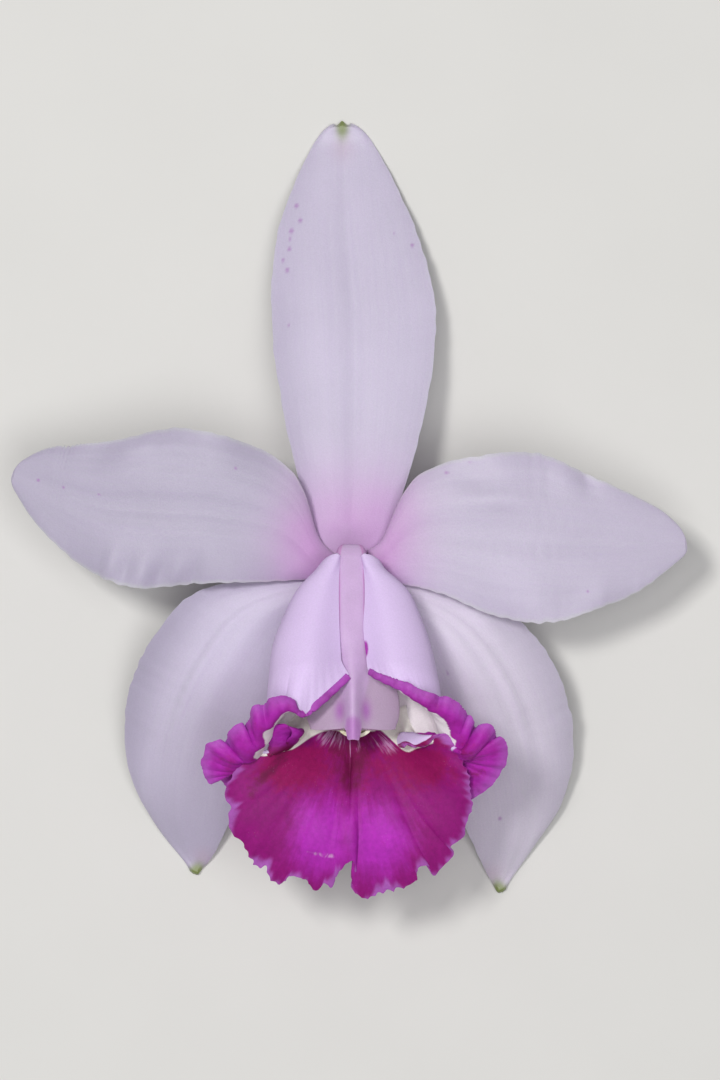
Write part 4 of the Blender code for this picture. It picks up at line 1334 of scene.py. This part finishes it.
    def side_paint(self, lobe: Lobe, points: Array, u: Array) -> dict[str, Array]:
        """What a side lobe is painted by: a stained rim that widens from the slit to the front.

        Args:
            lobe: the lobe.
            points: its points.
            u: how far from the slit, 0 to 1.

        Returns:
            dict[str, Array]: the paint values.
        """
        rim = self.from_rim(points)
        spread = step_between(lobe.spread_from, 1.0, u) * step_between(-27.2, -28.6, points[..., 1] / MM)
        wide = 1.1 * smooth(lobe.brim, u) + 0.4 + 8.0 * spread
        return {
            "stain": step_between(0.3, -0.3, (rim - wide) / np.minimum(wide, 3.0)),
            # Painted shade in the throat of a side lobe, deeper on the right.
            "crimson_and_shade": lobe.crimson_and_shade * step_between(0.5, 1.0, u) * step_between(0.5, 5.0, rim),
            "red": 0.35 * step_between(1.0, 5.0, rim),
            "bright_and_highlight": 0.6,
            "hem": 0.8 * step_between(3.0, 0.0, rim),
            "throat": 0.7,
            "ray": 0.9 * u,
        }

    @staticmethod
    def painted(paint: dict[str, Array | float], shape: tuple) -> dict[str, Array]:
        """Every value that the lip is painted by, as a row of numbers; one that isn't given is 0."""
        names = ("reach", "stain", "crimson_and_shade", "red", "bright_and_highlight", "hem", "streak", "throat", "ray")
        return {name: np.broadcast_to(paint.get(name, 0.0), shape).ravel() for name in names}

    def tube_sheet(self, lobes: tuple[Lobe, ...]) -> Sheet:
        """The tube, with one line of points for every second line of the lobes.

        Args:
            lobes: the three lobes.

        Returns:
            Sheet: the tube, measured from the heart.
        """
        around = np.concatenate([lobe.turns()[::2] for lobe in lobes])[None, :]
        step = shares(self.tube_rows)
        tube = self.tube(step, around)
        shape = tube.shape[:2]
        smear = self.smear.over(tube[..., 0] / MM, tube[..., 1] / MM) * (tube[..., 2] > 5 * MM)
        paint = {"reach": step - 1, "stain": smear, "bright_and_highlight": 0.6, "hem": 0.5, "throat": 0.7 * step,
                 "ray": 0.8 * around}
        index = np.arange(tube[..., 0].size).reshape(shape)
        half = np.full(index.size, 0.5 * self.thickness)
        return Sheet(tube.reshape(-1, 3), grid_cells(index), half, self.painted(paint, shape))

    def sheet(self) -> Sheet:
        """Joins the tube and its lobes, which have two columns for each of its own, into one sheet.

        Returns:
            Sheet: the lip with its relief, measured from the heart.
        """
        lobes = self.lobes()
        tube = self.tube_sheet(lobes)
        sheets = [tube]
        relief = [np.zeros(len(tube.points))]
        lines_of = {lobe.part: self.lines(lobe) for lobe in lobes}
        self.drawn_together(*lines_of.values())
        rows = self.lobe_rows
        q = shares(rows)
        mouth = np.arange(len(tube.points)).reshape(self.tube_rows + 1, -1)[-1]
        count = len(tube.points)
        for lobe in lobes:
            lines = lines_of[lobe.part]
            u = np.linspace(-1, 1, lobe.columns + 1)[None, :]
            if lobe.part is Part.FRONT:
                paint = self.front_paint(lines, u)
                height = self.front_relief(lines, q)
            else:
                paint = self.side_paint(lobe, lines, self.off_slit(lobe)[None, :])
                height = 0.1 * MM * q * wobble(u + 0 * q, 7, 4, 14)
            shape = (rows, lobe.columns + 1)
            paint = {name: values if np.ndim(values) == 0 or len(values) == 1 else values[1:]
                     for name, values in (paint | {"reach": q}).items()}
            grid = count + np.arange(rows * shape[1]).reshape(shape)
            own, mouth = np.split(mouth, [lobe.columns // 2 + 1])
            cells = np.concatenate((grid_cells(grid), self.fork(own, grid[0])))
            half = 0.5 * self.thickness * (1 - (1 - self.rim_share) * q[1:] ** 6)
            sheets.append(Sheet(lines[1:].reshape(-1, 3), cells, np.broadcast_to(half, shape).ravel(),
                                self.painted(paint, shape)))
            relief.append(height[1:].ravel())
            count += grid.size
        points, cells, half = (np.concatenate([getattr(sheet, name) for sheet in sheets])
                               for name in ("points", "cells", "half"))
        paint = {name: np.concatenate([sheet.paint[name] for sheet in sheets]) for name in tube.paint}
        return Sheet(points, turned_over(cells), half, paint).raised(np.concatenate(relief))

    def front_relief(self, points: Array, q: Array) -> Array:
        """The height of the front lobe's form: two soft pads, a groove between them, and rays.

        Args:
            points: its points.
            q: the share of the way from the tube to the margin.

        Returns:
            Array: heights in metres.
        """
        x, y = points[..., 0] / MM, points[..., 1] / MM
        pads = spots_over(self.pads, x, y)
        groove = -0.9 * bell(x, 0.0, 0.7) * step_between(-47.0, -36.0, y) * step_between(0.1, 0.3, q)
        ray = np.arctan2(x, -(y + 24.0))
        rays = (0.03 * wobble(ray, 3, 5.0, 14.0) * q
                + 0.12 * step_between(0.8, 1.0, q) * wobble(ray, 5, 4.0, 9.0))
        return (pads + groove + rays) * MM

    @staticmethod
    def fork(near: Array, far: Array) -> Array:
        """Joins a row of points to the next, which has two columns for each of its own.

        Args:
            near: the point numbers of the row.
            far: those of the next row.

        Returns:
            Array: three cells for each column, those with three corners repeating the last.
        """
        a, b = near[:-1], near[1:]
        left, middle, right = far[:-2:2], far[1:-1:2], far[2::2]
        return np.concatenate((np.stack((a, middle, left, left), 1), np.stack((a, b, middle, middle), 1),
                               np.stack((b, right, middle, middle), 1)))

    def build(self) -> bpy.types.Object:
        """Makes the piece."""
        body = self.sheet().body()
        body.points = body.points + HEART
        return finished(body, "lip", Slot.LIP)


# Column, anther and pollen.


@dataclass(frozen=True)
class Column:
    """The column: a rounded rod that spreads into two thin wings and ends in a small tooth."""

    length: float = 28.8 * MM
    lean: float = math.radians(20.0)
    foot: tuple = (0.2, 0.0, 3.7)
    # At equal steps along it, in millimetres: half its width, half the width of its rounded core,
    # the height of the core and of the wings, and how far the wings fold down.
    wide: tuple = (2.45, 2.55, 2.6, 2.6, 2.65, 3.0, 4.2, 6.2, 7.1, 7.1, 6.5)
    core: tuple = (2.2, 2.2, 2.2, 2.2, 2.2, 2.1, 2.0, 1.8, 1.4, 1.2, 1.1)
    deep: tuple = (2.2, 2.2, 2.2, 2.2, 2.2, 2.2, 2.1, 2.1, 2.1, 2.0, 1.8)
    wing: tuple = (2.2, 2.2, 2.2, 2.2, 2.1, 1.8, 1.2, 0.6, 0.5, 0.5, 0.5)
    fold: tuple = (0.0, 0.0, 0.0, 0.0, 0.0, 0.1, 0.5, 1.4, 2.2, 2.4, 2.2)
    # The share of its length over which the foot's end is rounded, and how far its heel stands out.
    dome: float = 0.05
    heel: float = 1.1 * MM
    # The tooth at its end: how long it is, half its width, and how far off the middle it stands.
    tooth_length: float = 2.2 * MM
    tooth_half: float = 1.12 * MM
    tooth_off: float = 0.05 * MM
    rows: int = 130
    around: int = 140

    def axes(self) -> tuple[Array, Array, Array]:
        """Its three directions: across, along towards its tip, and up out of its back."""
        lean = self.lean
        return (np.array((1.0, 0.0, 0.0)), np.array((0.01, -math.cos(lean), math.sin(lean))),
                np.array((0.0, math.sin(lean), math.cos(lean))))

    def at(self, across: Array, along: Array, back: Array) -> Array:
        """Places offsets along its three directions."""
        one, two, three = self.axes()
        return (HEART + np.array(self.foot) * MM + across[..., None] * one + along[..., None] * two
                + back[..., None] * three)

    def build(self) -> bpy.types.Object:
        """Makes the piece from rings whose widths and depths follow smooth curves along it.

        Returns:
            bpy.types.Object: the piece.
        """
        share = shares(self.rows - 1) ** 1.2
        turn = turns(self.around)
        wide, core, deep, wing, fold = (smooth(values, share) * MM for values in
                                        (self.wide, self.core, self.deep, self.wing, self.fold))
        cosine, sine = np.cos(turn), np.sin(turn)
        dome = np.sqrt(1 - (1 - np.clip(share / self.dome, 0, 1)) ** 2)
        wide = wide * (0.45 + 0.55 * dome)
        deep, wing = (0.1 * MM + dome * (values - 0.1 * MM) for values in (deep, wing))
        x = wide * np.sign(cosine) * np.abs(cosine) ** 1.5
        out = np.abs(x / wide)
        under = 1 - 0.6 * np.clip((share - 0.75) / 0.15, 0, 1) * (sine < 0)
        rise = (wing * np.sign(sine) * (1 - np.clip(out ** 5, 0, 1)) ** 0.4
                + (deep - wing) * under * np.exp(-(x / core) ** 2) * np.tanh(4 * sine)
                - fold * out ** 2)
        tooth = (self.tooth_length * np.exp(-((x - self.tooth_off) / self.tooth_half) ** 10)
                 * step_between(0.0, 0.2, sine) * np.clip((share - 0.93) / 0.07, 0, 1))
        shorter = (0.6 * MM * (share - 0.5).clip(0) * step_between(0.0, -0.2, sine)
                   + 0.7 * MM * step_between(0.9, 1.0, share) * out ** 6)
        length = self.length * share - self.heel * step_between(self.dome, 0.0, share) + tooth - shorter
        off_middle = np.abs(x) / MM
        rod_half = 1.05 + 1.4 * step_between(0.95, 0.68, share)
        paint = {
            "edge": (out ** 2 + 0.5 * bell(out, 0.72, 0.06) + 0.3 * bell(share, 0.0, 0.04))
            * step_between(0.8, 0.5, share),
            "wing": step_between(-0.2, 0.5, off_middle - rod_half) * step_between(0.6, 0.75, share),
            "tooth": step_between(0.0, 0.6, tooth / MM),
            "shadow": bell(off_middle, 2.0, 0.8) * bell(share, 0.90, 0.06),
        }
        return finished(rod(self.at(x, length, rise), paint), "column", Slot.COLUMN)


@dataclass(frozen=True)
class Anther:
    """The anther cap, a small helmet under the end of the column, and the pollen lumps; all in mm."""

    column: Column
    radii: tuple = (2.6, 1.9, 1.7)
    wall: float = 0.55
    # The middle of the cap's mouth, as offsets along the column's three directions.
    along: float = 27.9
    across: float = 0.3
    under: float = 1.35
    # The lumps' own radii, as shares of the room inside the cap, and the gap that they keep.
    lump: tuple = (0.76, 0.72, 0.42)
    gap: float = 0.3

    def place(self, x: Array, y: Array, z: Array) -> Array:
        """Places offsets in mm from the middle of the cap's mouth."""
        return self.column.at((x + self.across) * MM, (y + self.along) * MM, (z - self.under) * MM)

    def dome(self, shrink: float, rings: int, around: int) -> Array:
        """Rings of half an egg from its open rim to its crown.

        Args:
            shrink: how far inside the radii it lies, in mm.
            rings: how many rings it has.
            around: how many points a ring has.

        Returns:
            Array: the points, as rings by points by three.
        """
        a, b, c = np.array(self.radii) - shrink
        tilt = 0.49 * math.pi * shares(rings - 1)
        turn = turns(around)
        dent = 1 - 0.06 * bell(np.sin(turn), 1.0, 0.5)
        return self.place(a * np.cos(tilt) * np.cos(turn) * dent, b * np.cos(tilt) * np.sin(turn) * dent,
                          -c * np.sin(tilt) + 0 * turn)

    def build_cap(self) -> bpy.types.Object:
        """Makes the cap: the inner dome's rings turned round, then the outer dome's.

        Returns:
            bpy.types.Object: the piece.
        """
        rings = np.concatenate((self.dome(self.wall, 14, 48)[::-1], self.dome(0.0, 16, 48)))
        return finished(rod(rings, {}), "anther_cap", Slot.ANTHER_CAP)

    def build_pollen(self) -> bpy.types.Object:
        """Makes the pollinia: an egg whose section swells four times round.

        Returns:
            bpy.types.Object: the piece.
        """
        turn = turns(72)
        tilt = np.linspace(0.02 * math.pi, 0.98 * math.pi, 21)[:, None]
        lobes = 1 + 0.14 * np.cos(4 * turn)
        a, b, c = (np.array(self.radii) - self.wall - self.gap) * self.lump
        middle = -0.35 * (self.radii[2] - self.wall - self.gap)
        out = np.sin(tilt) * lobes
        rings = self.place(a * out * np.cos(turn), b * out * np.sin(turn),
                           c * np.cos(tilt) + middle + 0 * turn)
        return finished(rod(rings, {}), "pollinia", Slot.POLLINIA)


@dataclass(frozen=True)
class Stalk:
    """The ovary and its stalk: six ribs round a path that drops from the heart and turns along -Y."""

    collar_top: float = 1.3 * MM
    start_y: float = -2.6 * MM
    bend: float = 14.4 * MM
    reach: float = 42.5 * MM
    ribs: int = 6
    rib_depth: float = 0.07
    # Its radii at equal steps from the flower to the cut end, in millimetres.
    radii: tuple = (2.6, 2.6, 2.7, 2.8, 2.75, 2.5, 2.25, 2.1, 2.05, 2.05, 2.1)
    # How high over the surface the middle of the stalk lies.
    lie: float = 2.6 * MM

    def build(self) -> bpy.types.Object:
        """Makes the piece: rings square to the path, whose reach swells at each rib.

        Returns:
            bpy.types.Object: the piece.
        """
        bend_top = -HEART[2] + self.lie + self.bend
        drop = self.collar_top - bend_top
        arc = 0.5 * math.pi * self.bend
        run = self.reach + self.start_y - self.bend
        total = drop + arc + run
        way = np.linspace(0, total, 150)
        turned = np.clip((way - drop) / self.bend, 0, 0.5 * math.pi)
        past = np.clip(way - drop - arc, 0, None)
        y = self.start_y - self.bend * (1 - np.cos(turned)) - past
        z = self.collar_top - np.minimum(way, drop) - self.bend * np.sin(turned)
        path = HEART + np.stack((np.zeros_like(y), y, z), axis=1)
        ahead = np.stack((np.zeros_like(y), -np.sin(turned), -np.cos(turned)), axis=1)
        side = np.array((1.0, 0.0, 0.0))
        out = np.cross(ahead, side)
        radius = smooth(self.radii, way / total) * MM
        turn = turns(96)
        ribbed = np.clip((way - drop * 0.9) / (4 * MM), 0, 1)[:, None]
        reach = radius[:, None] * (1 + self.rib_depth * ribbed * np.cos(self.ribs * turn))
        rings = (path[:, None] + (reach * np.cos(turn))[..., None] * side
                 + (reach * np.sin(turn))[..., None] * out[:, None])
        along = (way / total)[:, None] + 0 * turn
        paint = {"along": along, "turn": np.abs(turn / math.pi - 1) + 0 * along,
                 "cut": (along > 0.999).astype(float)}
        return finished(rod(rings, paint), "ovary_pedicel", Slot.STALK)


# Floor, light and camera.


@dataclass(frozen=True)
class Lamp:
    """A square lamp: its place and side in metres, its power in watts, and its colour."""

    name: str
    at: tuple
    size: float
    power: float
    colour: tuple


@dataclass(frozen=True)
class Studio:
    """A plain pale floor, soft light from the upper left, and the camera straight above."""

    floor_colour: str = "DAD9D6"
    floor_shade: str = "D5D4D1"
    floor_reach: float = 3.0
    lamps: tuple = (Lamp("key", (-0.22, 0.16, 0.85), 0.14, 3.8, (1.0, 0.99, 0.97)),
                    Lamp("fill", (0.10, -0.12, 1.00), 0.60, 5.0, (0.99, 0.99, 1.0)))
    sky: tuple = (0.97, 0.98, 1.0, 1.0)
    sky_strength: float = 0.18
    # How wide one pixel of the picture is at the height of the heart.
    scale: float = 0.1558 * MM
    distance: float = 0.700
    heart_pixel: tuple = (350.0, 552.0)
    picture: tuple = (720, 1080)
    sensor: float = 36.0

    def floor(self) -> None:
        """Lays the floor just under the resting tips."""
        r, z = self.floor_reach, -0.02 * MM
        mesh = bpy.data.meshes.new("floor")
        mesh.from_pydata([(-r, -r, z), (r, -r, z), (r, r, z), (-r, r, z)], [], [(0, 1, 2, 3)])
        floor = bpy.data.objects.new("floor", mesh)
        bpy.context.scene.collection.objects.link(floor)
        g = Graph("floor_paper")
        g.shader.inputs["Roughness"].default_value = 0.85
        tone = g.mix(g.noise(g.place(), 40.0, 4.0), linear(self.floor_colour), linear(self.floor_shade))
        g.feed(g.shader.inputs["Base Color"], tone)
        mesh.materials.append(g.material)

    @staticmethod
    def hang(lamp: Lamp) -> None:
        """Hangs a lamp, turned to the heart of the flower.

        Args:
            lamp: the lamp.
        """
        light = bpy.data.lights.new(lamp.name, "AREA")
        light.size = lamp.size
        light.energy = lamp.power
        light.color = lamp.colour
        hung = bpy.data.objects.new(lamp.name, light)
        hung.location = lamp.at
        aim = Vector(HEART) - hung.location
        hung.rotation_euler = aim.to_track_quat("-Z", "Y").to_euler()
        bpy.context.scene.collection.objects.link(hung)

    def camera(self) -> None:
        """Looks straight down, so that the flower's heart falls on its place in the picture.

        One pixel is `scale` wide at the height of the heart, and the picture's long side, 1080
        pixels, fills the sensor, so lens / sensor = distance / (1080 scale).
        """
        data = bpy.data.cameras.new("camera")
        data.sensor_width = self.sensor
        data.lens = self.sensor * self.distance / (self.picture[1] * self.scale)
        data.clip_start = 0.01
        camera = bpy.data.objects.new("camera", data)
        off_x = (self.picture[0] / 2 - self.heart_pixel[0]) * self.scale
        off_y = (self.heart_pixel[1] - self.picture[1] / 2) * self.scale
        camera.location = (HEART[0] + off_x, HEART[1] + off_y, HEART[2] + self.distance)
        bpy.context.scene.collection.objects.link(camera)
        bpy.context.scene.camera = camera

    def build(self) -> None:
        """Sets up everything around the bloom."""
        scene = bpy.context.scene
        world = bpy.data.worlds.new("studio")
        world.use_nodes = True
        sky = world.node_tree.nodes["Background"].inputs
        sky["Color"].default_value = self.sky
        sky["Strength"].default_value = self.sky_strength
        scene.world = world
        scene.view_settings.view_transform = "Standard"
        self.floor()
        for lamp in self.lamps:
            self.hang(lamp)
        self.camera()


def main() -> None:
    """Builds the bloom and the studio around it."""
    logging.basicConfig(level=logging.INFO, format="%(name)s: %(message)s")
    for tepal in TEPALS:
        tepal.build()
    Lip().build()
    column = Column()
    column.build()
    anther = Anther(column)
    anther.build_cap()
    anther.build_pollen()
    Stalk().build()
    Studio().build()


if __name__ == "__main__":
    main()
